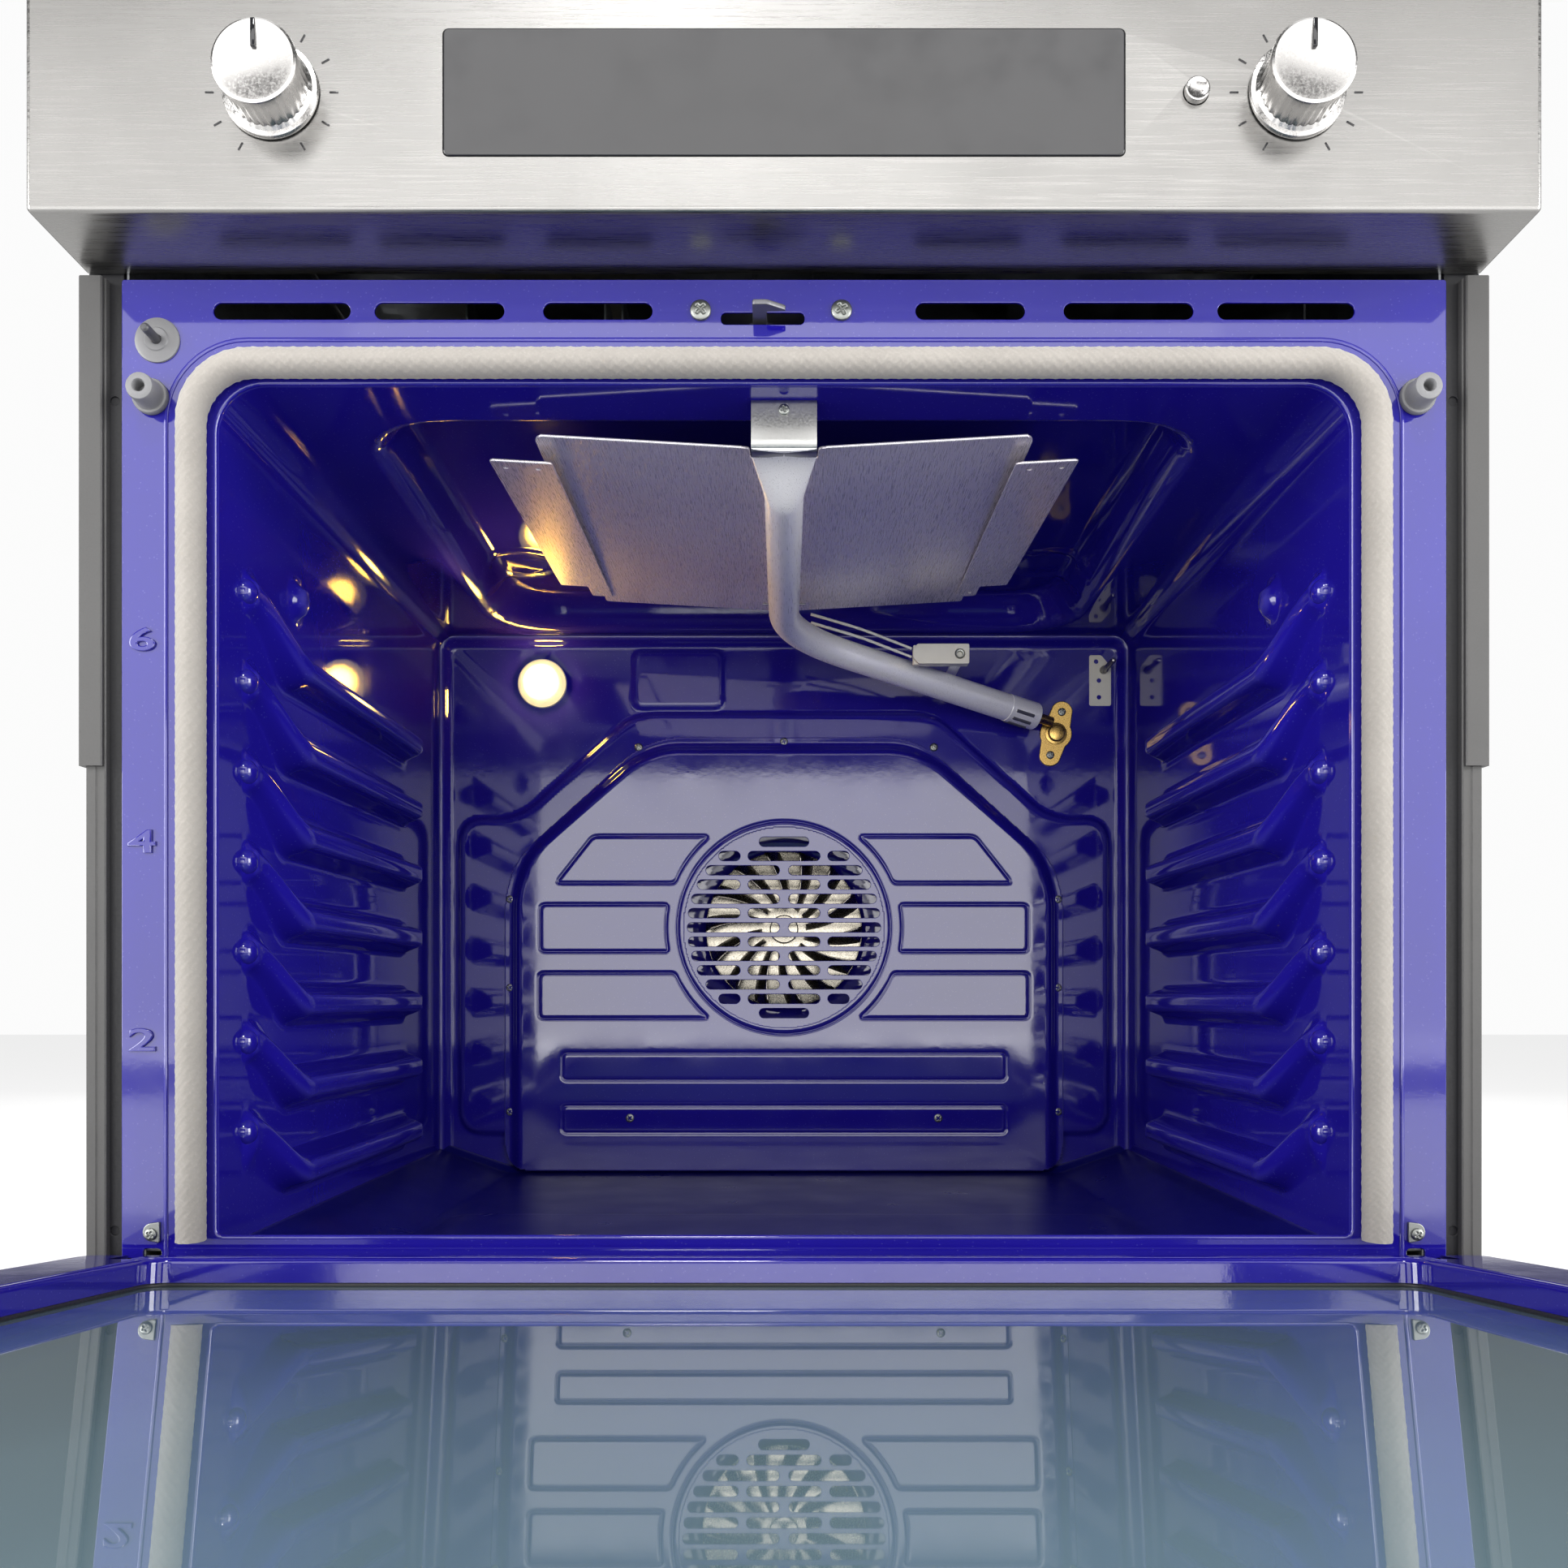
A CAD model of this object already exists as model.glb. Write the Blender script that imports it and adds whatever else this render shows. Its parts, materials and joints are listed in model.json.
"""Looks of the gas wall oven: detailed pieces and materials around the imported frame.

Sizes of pieces are in millimetres and those of lights, camera and floor in metres, all in the row frame:
+X to the user's right, +Y into the oven, +Z up.
"""

import json
import math
from contextlib import contextmanager

import bmesh
import bpy
import numpy as np
from mathutils import Matrix, Vector


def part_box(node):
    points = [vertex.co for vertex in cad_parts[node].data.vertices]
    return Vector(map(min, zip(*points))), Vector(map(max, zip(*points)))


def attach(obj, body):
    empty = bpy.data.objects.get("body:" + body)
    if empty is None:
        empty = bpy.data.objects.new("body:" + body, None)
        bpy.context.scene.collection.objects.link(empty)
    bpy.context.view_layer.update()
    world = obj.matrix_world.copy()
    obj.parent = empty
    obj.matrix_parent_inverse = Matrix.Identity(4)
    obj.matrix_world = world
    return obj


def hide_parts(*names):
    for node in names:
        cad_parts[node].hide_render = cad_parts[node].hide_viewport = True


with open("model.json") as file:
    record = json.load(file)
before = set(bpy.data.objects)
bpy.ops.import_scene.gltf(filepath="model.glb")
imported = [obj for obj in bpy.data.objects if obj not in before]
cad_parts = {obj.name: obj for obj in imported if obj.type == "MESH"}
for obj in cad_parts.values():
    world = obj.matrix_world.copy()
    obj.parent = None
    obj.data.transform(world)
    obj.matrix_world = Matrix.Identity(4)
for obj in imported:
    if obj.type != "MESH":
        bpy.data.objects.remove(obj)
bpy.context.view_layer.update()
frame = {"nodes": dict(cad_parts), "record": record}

MM = 0.001


# ---------------------------------------------------------------- sizes
def span(node):
    """Lowest and highest corner of a CAD node, in millimetres."""
    low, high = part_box(node)
    return np.array(low) / MM, np.array(high) / MM


frame_low, frame_high = span("front_frame")
floor_low, floor_high = span("cavity_floor")
skin_low, skin_high = span("control_fascia")
cover_low, cover_high = span("fan_cover")
FRAME_HALF = frame_high[0]
FRAME_BOTTOM = frame_low[2]
FRAME_TOP = frame_high[2]
SHEET = 1.2
CAVITY_HALF = round(floor_high[0])
FLOOR_Z = floor_low[2] + 1.5
TRAY_RISE = 21
TRAY_HALF = 246
CEILING_Z = span("cavity_ceiling")[0][2] - 0.1
BACK_Y = span("cavity_back")[0][1]
CHASSIS_HALF = span("side_panels")[1][0]
CHASSIS_BACK = span("back_panel")[1][1]
CHASSIS_TOP = span("top_panel")[1][2]
LIP_Z = FLOOR_Z + 26.5
LIP_RADIUS = 28
REAR_RADIUS = 15
CEILING_FALL = 9
GUIDE_COUNT = 7
GUIDE_PITCH = 51.2
GUIDE_FIRST = FLOOR_Z + 50
GUIDE_REACH = 18
FAN_Z = FLOOR_Z + 218.5
FAN_BACK = span("convection_fan")[1][1] - 54
BLADE_COUNT = 14
GRILLE_RADIUS = 86
GRILLE_PITCH = 12.7
GRILLE_ROWS = 13
COVER_FRONT = cover_low[1]
FACE_HALF = skin_high[0]
FACE_Y = skin_low[1]
PIVOT_Y = -24
PIVOT_Z = FLOOR_Z + 5
DOOR_ANGLE = 84
DOOR_BOTTOM = PIVOT_Z - 22
DOOR_TOP = FLOOR_Z + 541
BORDER_Y = -9
GLASS_Y = BORDER_Y - 13.4
VENT_Z = FLOOR_Z + 527
LATCH_Z = FLOOR_Z + 523
HINGE_X = 341
SWITCH_AT = (-338, FLOOR_Z + 511)
BUMPER_AT = (341, FLOOR_Z + 480)
LAMP_AT = (-217, FLOOR_Z + 438)
KNOB_X = 255
KNOB_Z = 727
BUTTON_X = 205
HANDLE_POST_X = 290
POCKET_RADIUS = 9.2
FLANGE_HOLES = (150, 600)


# ---------------------------------------------------------------- mesh helpers
def link(name, mesh):
    obj = bpy.data.objects.new(name, mesh)
    bpy.context.scene.collection.objects.link(obj)
    return obj


def smooth_shading(mesh, angle=35):
    mesh.shade_smooth()
    mesh.set_sharp_from_angle(angle=math.radians(angle))


@contextmanager
def edited(obj):
    """Opens a piece's mesh for editing and writes it back afterwards."""
    work = bmesh.new()
    work.from_mesh(obj.data)
    yield work
    work.to_mesh(obj.data)
    work.free()


def add_mesh(name, points, faces, angle=35):
    mesh = bpy.data.meshes.new(name)
    mesh.from_pydata((np.asarray(points, float).reshape(-1, 3) * MM).tolist(), [], faces)
    smooth_shading(mesh, angle)
    return link(name, mesh)


def surface(name, grid, keep=None, around=False, angle=35):
    """Quads over an array of points; keep says which quads stay, around closes the second direction."""
    rows, columns = grid.shape[:2]
    index = np.arange(rows * columns).reshape(rows, columns)
    if around:
        index = np.concatenate([index, index[:, :1]], axis=1)
    quads = np.stack([index[:-1, :-1], index[:-1, 1:], index[1:, 1:], index[1:, :-1]], axis=-1)
    if keep is not None:
        quads = quads[keep]
    obj = add_mesh(name, grid, quads.reshape(-1, 4).tolist(), angle)
    with edited(obj) as work:
        bmesh.ops.delete(work, geom=[v for v in work.verts if not v.link_faces], context="VERTS")
    return obj


def thicken(obj, thickness=SHEET):
    """Gives an open sheet its metal thickness, on the far side of its faces."""
    solid = obj.modifiers.new("sheet", "SOLIDIFY")
    solid.thickness = thickness * MM
    solid.offset = -1
    return obj


def thickened(obj, thickness):
    """Thickens an open sheet at once, so that it can be joined."""
    with edited(obj) as work:
        bmesh.ops.solidify(work, geom=work.faces[:], thickness=thickness * MM)
    return obj


def join(name, parts):
    """One piece made of several, which it takes the place of."""
    work = bmesh.new()
    for part in parts:
        work.from_mesh(part.data)
        bpy.data.objects.remove(part)
    mesh = bpy.data.meshes.new(name)
    work.to_mesh(mesh)
    work.free()
    return link(name, mesh)


def moved(obj, offset=(0, 0, 0), turn=0, axis="Y", centre=(0, 0, 0)):
    """Turns a piece's mesh by some degrees about a line through centre, then shifts it."""
    centre = Vector(centre) * MM
    matrix = Matrix.Translation(Vector(offset) * MM + centre)
    obj.data.transform(matrix @ Matrix.Rotation(math.radians(turn), 4, axis) @ Matrix.Translation(-centre))
    return obj


def mirrored(obj):
    """Adds the other side of a piece that was made at positive X."""
    with edited(obj) as work:
        twin = bmesh.ops.duplicate(work, geom=work.verts[:] + work.edges[:] + work.faces[:])["geom"]
        for part in twin:
            if isinstance(part, bmesh.types.BMVert):
                part.co.x = -part.co.x
        bmesh.ops.reverse_faces(work, faces=[f for f in twin if isinstance(f, bmesh.types.BMFace)])
    return obj


# ---------------------------------------------------------------- outlines
def arc(x, z, radius, start, end, steps=8):
    turns = np.radians(np.linspace(start, end, steps + 1))
    return [(x + radius * math.cos(t), z + radius * math.sin(t)) for t in turns]


def circle(x, z, radius, steps=48):
    return arc(x, z, radius, 0, 360, steps)[:-1]


def rounded_rect(low, high, radius, steps=8):
    corners = [(high[0], high[1], 0), (low[0], high[1], 90), (low[0], low[1], 180), (high[0], low[1], 270)]
    points = []
    for x, z, start in corners:
        inner_x = x - radius if x == high[0] else x + radius
        inner_z = z - radius if z == high[1] else z + radius
        points += arc(inner_x, inner_z, radius, start, start + 90, steps)
    return points


def slot(x0, x1, z, height, steps=8):
    return rounded_rect((x0, z - height / 2), (x1, z + height / 2), height / 2 - 0.01, steps)


def softened(points, radius, closed=True, steps=6):
    """The same polyline with its corners rounded; works in two or three dimensions."""
    points = [np.array(p, float) for p in points]
    result = []
    count = len(points)
    for i, corner in enumerate(points):
        if not closed and i in (0, count - 1):
            result.append(corner)
            continue
        before = points[i - 1] - corner
        after = points[(i + 1) % count] - corner
        reach = min(radius, 0.45 * np.linalg.norm(before), 0.45 * np.linalg.norm(after))
        start = corner + before / np.linalg.norm(before) * reach
        end = corner + after / np.linalg.norm(after) * reach
        for t in np.linspace(0, 1, steps + 1):
            result.append((1 - t) ** 2 * start + 2 * t * (1 - t) * corner + t * t * end)
    return result


def ease(t):
    """Smooth step from 0 to 1."""
    t = np.clip(t, 0, 1)
    return t * t * (3 - 2 * t)


def depth_inside(x, z, outline):
    """Distance of each point to an outline, positive inside it."""
    points = np.array(outline, float)
    nearest = np.full(x.shape, np.inf)
    inside = np.zeros(x.shape, bool)
    for (x0, z0), (x1, z1) in zip(points, np.roll(points, -1, axis=0)):
        dx = x1 - x0
        dz = z1 - z0
        along = np.clip(((x - x0) * dx + (z - z0) * dz) / max(dx * dx + dz * dz, 1e-9), 0, 1)
        nearest = np.minimum(nearest, np.hypot(x - x0 - along * dx, z - z0 - along * dz))
        if dz:
            inside ^= ((z0 > z) != (z1 > z)) & (x < x0 + (z - z0) * dx / dz)
    return np.where(inside, nearest, -nearest)


# ---------------------------------------------------------------- solids
UPRIGHT = Matrix.Rotation(math.radians(90), 4, "X")


def plate(name, loops, y, thickness=SHEET, bevel=0.3, flat=False):
    """A sheet with rounded edges whose first loop is its outline and whose others are holes.

    It stands in X and Z with its front at y, or lies in X and Y with its underside at height y when flat.
    """
    curve = bpy.data.curves.new(name, "CURVE")
    curve.dimensions = "2D"
    curve.fill_mode = "BOTH"
    curve.extrude = thickness / 2 - bevel
    curve.bevel_depth = bevel
    curve.bevel_resolution = 2
    curve.offset = -bevel
    for loop in loops:
        spline = curve.splines.new("POLY")
        spline.points.add(len(loop) - 1)
        spline.points.foreach_set("co", [c for x, z in loop for c in (x, z, 0, 1)])
        spline.use_cyclic_u = True
    holder = link(name, curve)
    bpy.context.view_layer.update()
    depsgraph = bpy.context.evaluated_depsgraph_get()
    mesh = bpy.data.meshes.new_from_object(holder.evaluated_get(depsgraph))
    bpy.data.objects.remove(holder)
    middle = y + thickness / 2
    place = Matrix.Translation((0, 0, middle))
    if not flat:
        place = Matrix.Translation((0, middle, 0)) @ UPRIGHT
    mesh.transform(Matrix.Scale(MM, 4) @ place)
    smooth_shading(mesh, 30)
    return link(name, mesh)


def loft(name, loops, cap_first=False, cap_last=False, angle=35):
    """Skin over closed loops with the same number of points."""
    grid = np.array(loops, float)
    rows, columns = grid.shape[:2]
    faces = []
    for i in range(rows - 1):
        for j in range(columns):
            k = (j + 1) % columns
            faces.append((i * columns + j, i * columns + k, (i + 1) * columns + k, (i + 1) * columns + j))
    if cap_first:
        faces.append(tuple(reversed(range(columns))))
    if cap_last:
        faces.append(tuple(range((rows - 1) * columns, rows * columns)))
    return add_mesh(name, grid, faces, angle)


AXES = {"x": (1, 2, 0), "y": (0, 2, 1), "z": (0, 1, 2)}


def lathe(name, profile, at=(0, 0, 0), axis="y", sides=48, angle=35, hollow=False):
    """Turns (radius, distance) points about an axis through at; hollow leaves the ends open."""
    first, second, along = AXES[axis]
    turns = np.linspace(0, 2 * math.pi, sides, endpoint=False)
    if axis == "y":
        turns = -turns
    loops = []
    for radius, distance in profile:
        loop = np.zeros((sides, 3))
        loop[:, first] = radius * np.cos(turns)
        loop[:, second] = radius * np.sin(turns)
        loop[:, along] = distance
        loops.append(loop + np.array(at))
    cap_first = profile[0][0] > 0.01 and not hollow
    cap_last = profile[-1][0] > 0.01 and not hollow
    obj = loft(name, loops, cap_first, cap_last, angle)
    with edited(obj) as work:
        bmesh.ops.remove_doubles(work, verts=work.verts[:], dist=1e-6)
        bmesh.ops.recalc_face_normals(work, faces=work.faces[:])
    return obj


def shifted(base, profile):
    """The same profile with its distances counted from base."""
    return [(radius, base + distance) for radius, distance in profile]


def sweep(name, path, radius, sides=20, squash=1, ripple=None, closed=False):
    """A round bar along a path; squash flattens it along Y and ripple(length, turn) adds to its radius."""
    path = np.array(path, float)
    ahead = np.gradient(path, axis=0)
    if closed:
        ahead = np.roll(path, -1, axis=0) - np.roll(path, 1, axis=0)
    ahead /= np.linalg.norm(ahead, axis=1)[:, None]
    side = np.cross(ahead[0], (0.03, 1, 0.02))
    side /= np.linalg.norm(side)
    turns = np.linspace(0, 2 * math.pi, sides, endpoint=False)
    lengths = np.concatenate([[0], np.cumsum(np.linalg.norm(np.diff(path, axis=0), axis=1))])
    loops = []
    for point, forward, length in zip(path, ahead, lengths):
        side = side - forward * side.dot(forward)
        side /= np.linalg.norm(side)
        up = np.cross(forward, side)
        reach = np.full(sides, float(radius)) if ripple is None else radius + ripple(length, turns)
        ring = reach[:, None] * (np.cos(turns)[:, None] * side + np.sin(turns)[:, None] * up)
        ring[:, 1] *= squash
        loops.append(point + ring)
    if closed:
        loops.append(loops[0])
    return loft(name, loops, not closed, not closed, 50)


def block(name, low, high, bevel=0.4):
    """A box with rounded edges."""
    work = bmesh.new()
    bmesh.ops.create_cube(work, size=1)
    size = (np.array(high, float) - low) * MM
    middle = (np.array(high, float) + low) / 2 * MM
    bmesh.ops.scale(work, vec=size, verts=work.verts[:])
    bmesh.ops.translate(work, vec=middle, verts=work.verts[:])
    bmesh.ops.bevel(work, geom=work.edges[:], offset=bevel * MM, segments=2, profile=0.5, affect="EDGES")
    mesh = bpy.data.meshes.new(name)
    work.to_mesh(mesh)
    work.free()
    smooth_shading(mesh, 30)
    return link(name, mesh)


def strip(name, profile, x0, x1, thickness):
    """Sheet metal bent to a line drawn in Y and Z, from one X to another."""
    bend = 3
    line = softened(profile, bend, closed=False, steps=5)
    rows = [[(x, y, z) for y, z in line] for x in np.linspace(x0, x1, 3)]
    obj = thicken(surface(name, np.array(rows, float), angle=45), thickness)
    edge = obj.modifiers.new("edge", "BEVEL")
    edge.width = 0.25 * MM
    edge.segments = 2
    return obj


def screw(name, x, y, z, radius, height, turn=20, axis="y"):
    """A pan head with a cross recess on a surface point, facing -Y, or +X, +Y (back) or +Z as axis says."""
    rings = 14
    sides = 48
    share = np.linspace(0, 1, rings + 1)[:, None]
    angles = -np.linspace(0, 2 * math.pi, sides, endpoint=False)[None, :]
    u = share * np.cos(angles - math.radians(turn))
    v = share * np.sin(angles - math.radians(turn))
    dome = height * np.sqrt(np.clip(1 - 0.8 * share ** 2.4, 0, 1)) + 0 * u
    narrow = np.minimum(np.abs(u), np.abs(v))
    recess = (1 - ease((narrow - 0.1) / 0.09)) * (1 - ease((share - 0.48) / 0.14))
    rise = dome - 0.55 * height * recess
    points = np.stack([share * radius * np.cos(angles), -rise, share * radius * np.sin(angles)], axis=-1)
    foot = points[-1:].copy()
    foot[:, :, 1] = 0
    head = surface(name, np.concatenate([points, foot]), around=True, angle=60)
    angle, about = {"y": (0, "Z"), "z": (-90, "X"), "x": (90, "Z"), "back": (180, "Z")}[axis]
    if angle:
        moved(head, turn=angle, axis=about)
    return moved(head, offset=(x, y, z))


def lettering(name, text, x, z, height, y):
    """A raised numeral on an upright face."""
    curve = bpy.data.curves.new(name, "FONT")
    curve.body = text
    curve.align_x = "CENTER"
    curve.align_y = "CENTER"
    curve.size = height * 1.4
    curve.extrude = 0.5
    curve.bevel_depth = 0.5
    curve.bevel_resolution = 2
    holder = link(name, curve)
    bpy.context.view_layer.update()
    mesh = bpy.data.meshes.new_from_object(holder.evaluated_get(bpy.context.evaluated_depsgraph_get()))
    bpy.data.objects.remove(holder)
    wide = Matrix.Diagonal((1.75, 1, 1, 1))
    place = Matrix.Translation((x, y, z)) @ UPRIGHT @ wide
    mesh.transform(Matrix.Scale(MM, 4) @ place)
    smooth_shading(mesh, 30)
    return link(name, mesh)


def opened(obj):
    """Carries a door piece from the shut position, in which it is drawn, to the open stop."""
    return moved(obj, turn=DOOR_ANGLE, axis="X", centre=(0, PIVOT_Y, PIVOT_Z))


# ---------------------------------------------------------------- materials
class Finish:
    """A Principled material with procedural colour, gloss and relief."""

    def __init__(self, name, colour, roughness, metallic=0.0, ior=1.5, coat=0.0):
        self.material = bpy.data.materials.new(name)
        self.material.use_nodes = True
        self.tree = self.material.node_tree
        self.shader = self.tree.nodes["Principled BSDF"]
        self.colour = colour
        self.set("Base Color", (*colour, 1))
        self.set("Roughness", roughness)
        self.set("Metallic", metallic)
        self.set("IOR", ior)
        self.set("Coat Weight", coat)
        self.set("Coat Roughness", 0.04)
        self.roughness = roughness
        self.place = self.node("ShaderNodeTexCoord").outputs["Object"]
        self.colour_out = None
        self.height_out = None

    def node(self, kind, **settings):
        made = self.tree.nodes.new(kind)
        for key, value in settings.items():
            setattr(made, key, value)
        return made

    def set(self, socket, value):
        self.shader.inputs[socket].default_value = value
        return self

    def join(self, start, end):
        self.tree.links.new(start, end)

    def stretched(self, scale):
        mapping = self.node("ShaderNodeMapping")
        mapping.inputs["Scale"].default_value = scale
        self.join(self.place, mapping.inputs["Vector"])
        return mapping.outputs[0]

    def noise(self, scale, stretch=(1, 1, 1), detail=3.0):
        """Noise with features about 1000 / scale millimetres across."""
        made = self.node("ShaderNodeTexNoise")
        made.inputs["Scale"].default_value = scale
        made.inputs["Detail"].default_value = detail
        self.join(self.stretched(stretch), made.inputs["Vector"])
        return made.outputs[0]

    def ranged(self, value, low, high, out_low=0.0, out_high=1.0):
        made = self.node("ShaderNodeMapRange")
        made.inputs["From Min"].default_value = low
        made.inputs["From Max"].default_value = high
        made.inputs["To Min"].default_value = out_low
        made.inputs["To Max"].default_value = out_high
        self.join(value, made.inputs["Value"])
        return made.outputs[0]

    def tint(self, mask, colour):
        """Shifts the colour towards another one where the mask is high."""
        mix = self.node("ShaderNodeMix", data_type="RGBA")
        self.join(mask, mix.inputs[0])
        if self.colour_out is None:
            mix.inputs[6].default_value = (*self.colour, 1)
        else:
            self.join(self.colour_out, mix.inputs[6])
        mix.inputs[7].default_value = (*colour, 1)
        self.colour_out = mix.outputs[2]
        self.join(self.colour_out, self.shader.inputs["Base Color"])
        return self

    def gloss(self, value, spread):
        """Varies the roughness about its mean with a noise value."""
        out = self.ranged(value, 0.3, 0.7, max(self.roughness - spread, 0.01), self.roughness + spread)
        self.join(out, self.shader.inputs["Roughness"])
        return self

    def relief(self, value, depth, strength=1.0):
        """Adds a bump of a depth in millimetres."""
        bump = self.node("ShaderNodeBump")
        bump.inputs["Strength"].default_value = strength
        bump.inputs["Distance"].default_value = depth * MM
        self.join(value, bump.inputs["Height"])
        if self.height_out is not None:
            self.join(self.height_out, bump.inputs["Normal"])
        self.height_out = bump.outputs[0]
        self.join(self.height_out, self.shader.inputs["Normal"])
        return self

    def edge_wear(self, colour, amount=0.5):
        """Lightens worn edges, found where the surface bends outwards."""
        bend = self.node("ShaderNodeNewGeometry").outputs["Pointiness"]
        self.tint(self.ranged(bend, 0.52, 0.6, 0.0, amount), colour)
        return self


def shade(colour, factor):
    """The colour made lighter or darker."""
    return tuple(min(c * factor, 1.0) for c in colour)


def enamel(name, colour, roughness=0.06, ior=1.68):
    """Porcelain enamel: a glassy coat with a faint orange peel, fine specks and a film of soil."""
    made = Finish(name, colour, roughness, ior=ior)
    cloud = made.noise(9, detail=4)
    made.tint(made.ranged(cloud, 0.35, 0.75, 0.0, 0.5), shade(colour, 0.72))
    specks = made.node("ShaderNodeTexVoronoi")
    specks.inputs["Scale"].default_value = 330
    made.join(made.place, specks.inputs["Vector"])
    made.tint(made.ranged(specks.outputs[0], 0.16, 0.08, 0.0, 0.1), (0.3, 0.3, 0.7))
    made.gloss(made.noise(22, detail=5), 0.03)
    made.relief(made.noise(180), 0.012)
    made.edge_wear((0.16, 0.15, 0.5), 0.35)
    return made.material


def metal(
    name, colour, roughness, stretch=(1, 1, 1), grain=900, depth=0.01, soil=0.25, soil_colour=None, bare=1.0
):
    """Metal with a rolled or brushed grain, cloudy soil and brighter edges; bare is its metallic share."""
    made = Finish(name, colour, roughness, metallic=bare)
    made.tint(made.ranged(made.noise(14, detail=5), 0.42, 0.72, 0.0, soil), soil_colour or shade(colour, 0.5))
    lines = made.noise(grain, stretch)
    made.tint(made.ranged(lines, 0.4, 0.7, 0.0, 0.18), shade(colour, 1.35))
    made.gloss(lines, 0.08)
    made.relief(lines, depth)
    made.edge_wear(shade(colour, 1.5), 0.3)
    return made.material


def galvanised(name, colour=(0.25, 0.262, 0.275)):
    """Zinc-coated sheet with its spangle of crystals."""
    made = Finish(name, colour, 0.38, metallic=1.0)
    cells = made.node("ShaderNodeTexVoronoi")
    cells.inputs["Scale"].default_value = 85
    made.join(made.place, cells.inputs["Vector"])
    tone = made.node("ShaderNodeSeparateColor")
    made.join(cells.outputs["Color"], tone.inputs[0])
    made.tint(made.ranged(tone.outputs[0], 0.0, 1.0, 0.0, 0.55), shade(colour, 1.45))
    made.tint(made.ranged(made.noise(7, detail=5), 0.45, 0.75, 0.0, 0.35), shade(colour, 0.55))
    out = made.ranged(tone.outputs[1], 0.0, 1.0, 0.28, 0.48)
    made.join(out, made.shader.inputs["Roughness"])
    made.relief(made.noise(400), 0.01)
    return made.material


def moulded(name, colour, roughness=0.45, grain=600, depth=0.03, wear=0.25, ior=1.5):
    """Moulded plastic, rubber or ceramic: a fine grain, uneven gloss and paler edges."""
    made = Finish(name, colour, roughness, ior=ior)
    made.tint(made.ranged(made.noise(30, detail=5), 0.4, 0.75, 0.0, 0.5), shade(colour, 0.72))
    fine = made.noise(grain)
    made.gloss(fine, 0.1)
    made.relief(fine, depth)
    made.edge_wear(shade(colour, 1.6), wear)
    return made.material


def woven_fibre(name, colour=(0.285, 0.265, 0.24)):
    """Knitted glass fibre: crossing yarns, loose fuzz and a little smoke stain."""
    made = Finish(name, colour, 0.85)
    made.set("Sheen Weight", 0.3)
    made.tint(made.ranged(made.noise(25, detail=5), 0.4, 0.72, 0.0, 0.6), shade(colour, 0.78))
    made.tint(made.ranged(made.noise(700), 0.5, 0.8, 0.0, 0.35), shade(colour, 1.3))
    for direction in ((1, 0.4, 1), (1, -0.4, -1)):
        wave = made.node("ShaderNodeTexWave", wave_type="BANDS", bands_direction="DIAGONAL")
        wave.inputs["Scale"].default_value = 190
        wave.inputs["Distortion"].default_value = 1.5
        wave.inputs["Detail Scale"].default_value = 3
        made.join(made.stretched(direction), wave.inputs["Vector"])
        made.relief(wave.outputs[1], 0.12, 0.5)
    made.relief(made.noise(1500), 0.08)
    return made.material


def clear_glass(name, colour, alpha, roughness=0.02, ior=1.52):
    """Tinted pane that shows what lies behind it, with dust and wipe marks in its gloss."""
    made = Finish(name, colour, roughness, ior=ior)
    made.set("Alpha", alpha)
    made.set("Coat Weight", 1.0)
    made.set("Coat Roughness", 0.01)
    made.tint(made.ranged(made.noise(6, (1, 0.4, 1), 5), 0.45, 0.8, 0.0, 0.5), shade(colour, 1.4))
    made.gloss(made.noise(40, (1, 0.2, 1), 4), 0.015)
    return made.material


def glowing(name, colour, strength):
    """Lit lamp glass, brighter in its middle rings."""
    made = Finish(name, colour, 0.2)
    made.set("Emission Strength", strength)
    mix = made.node("ShaderNodeMix", data_type="RGBA")
    made.join(made.ranged(made.noise(160, detail=2), 0.35, 0.7), mix.inputs[0])
    mix.inputs[6].default_value = (*colour, 1)
    mix.inputs[7].default_value = (*shade(colour, 0.8), 1)
    made.join(mix.outputs[2], made.shader.inputs["Emission Color"])
    made.relief(made.noise(300), 0.05)
    return made.material


def wool(name, colour=(0.5, 0.42, 0.22)):
    """Matted mineral wool with long soft fibres."""
    made = Finish(name, colour, 0.95)
    made.tint(made.ranged(made.noise(60, (1, 3, 3), 6), 0.35, 0.7), shade(colour, 0.6))
    made.relief(made.noise(220, (1, 3, 3), 6), 2.0)
    return made.material


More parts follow.
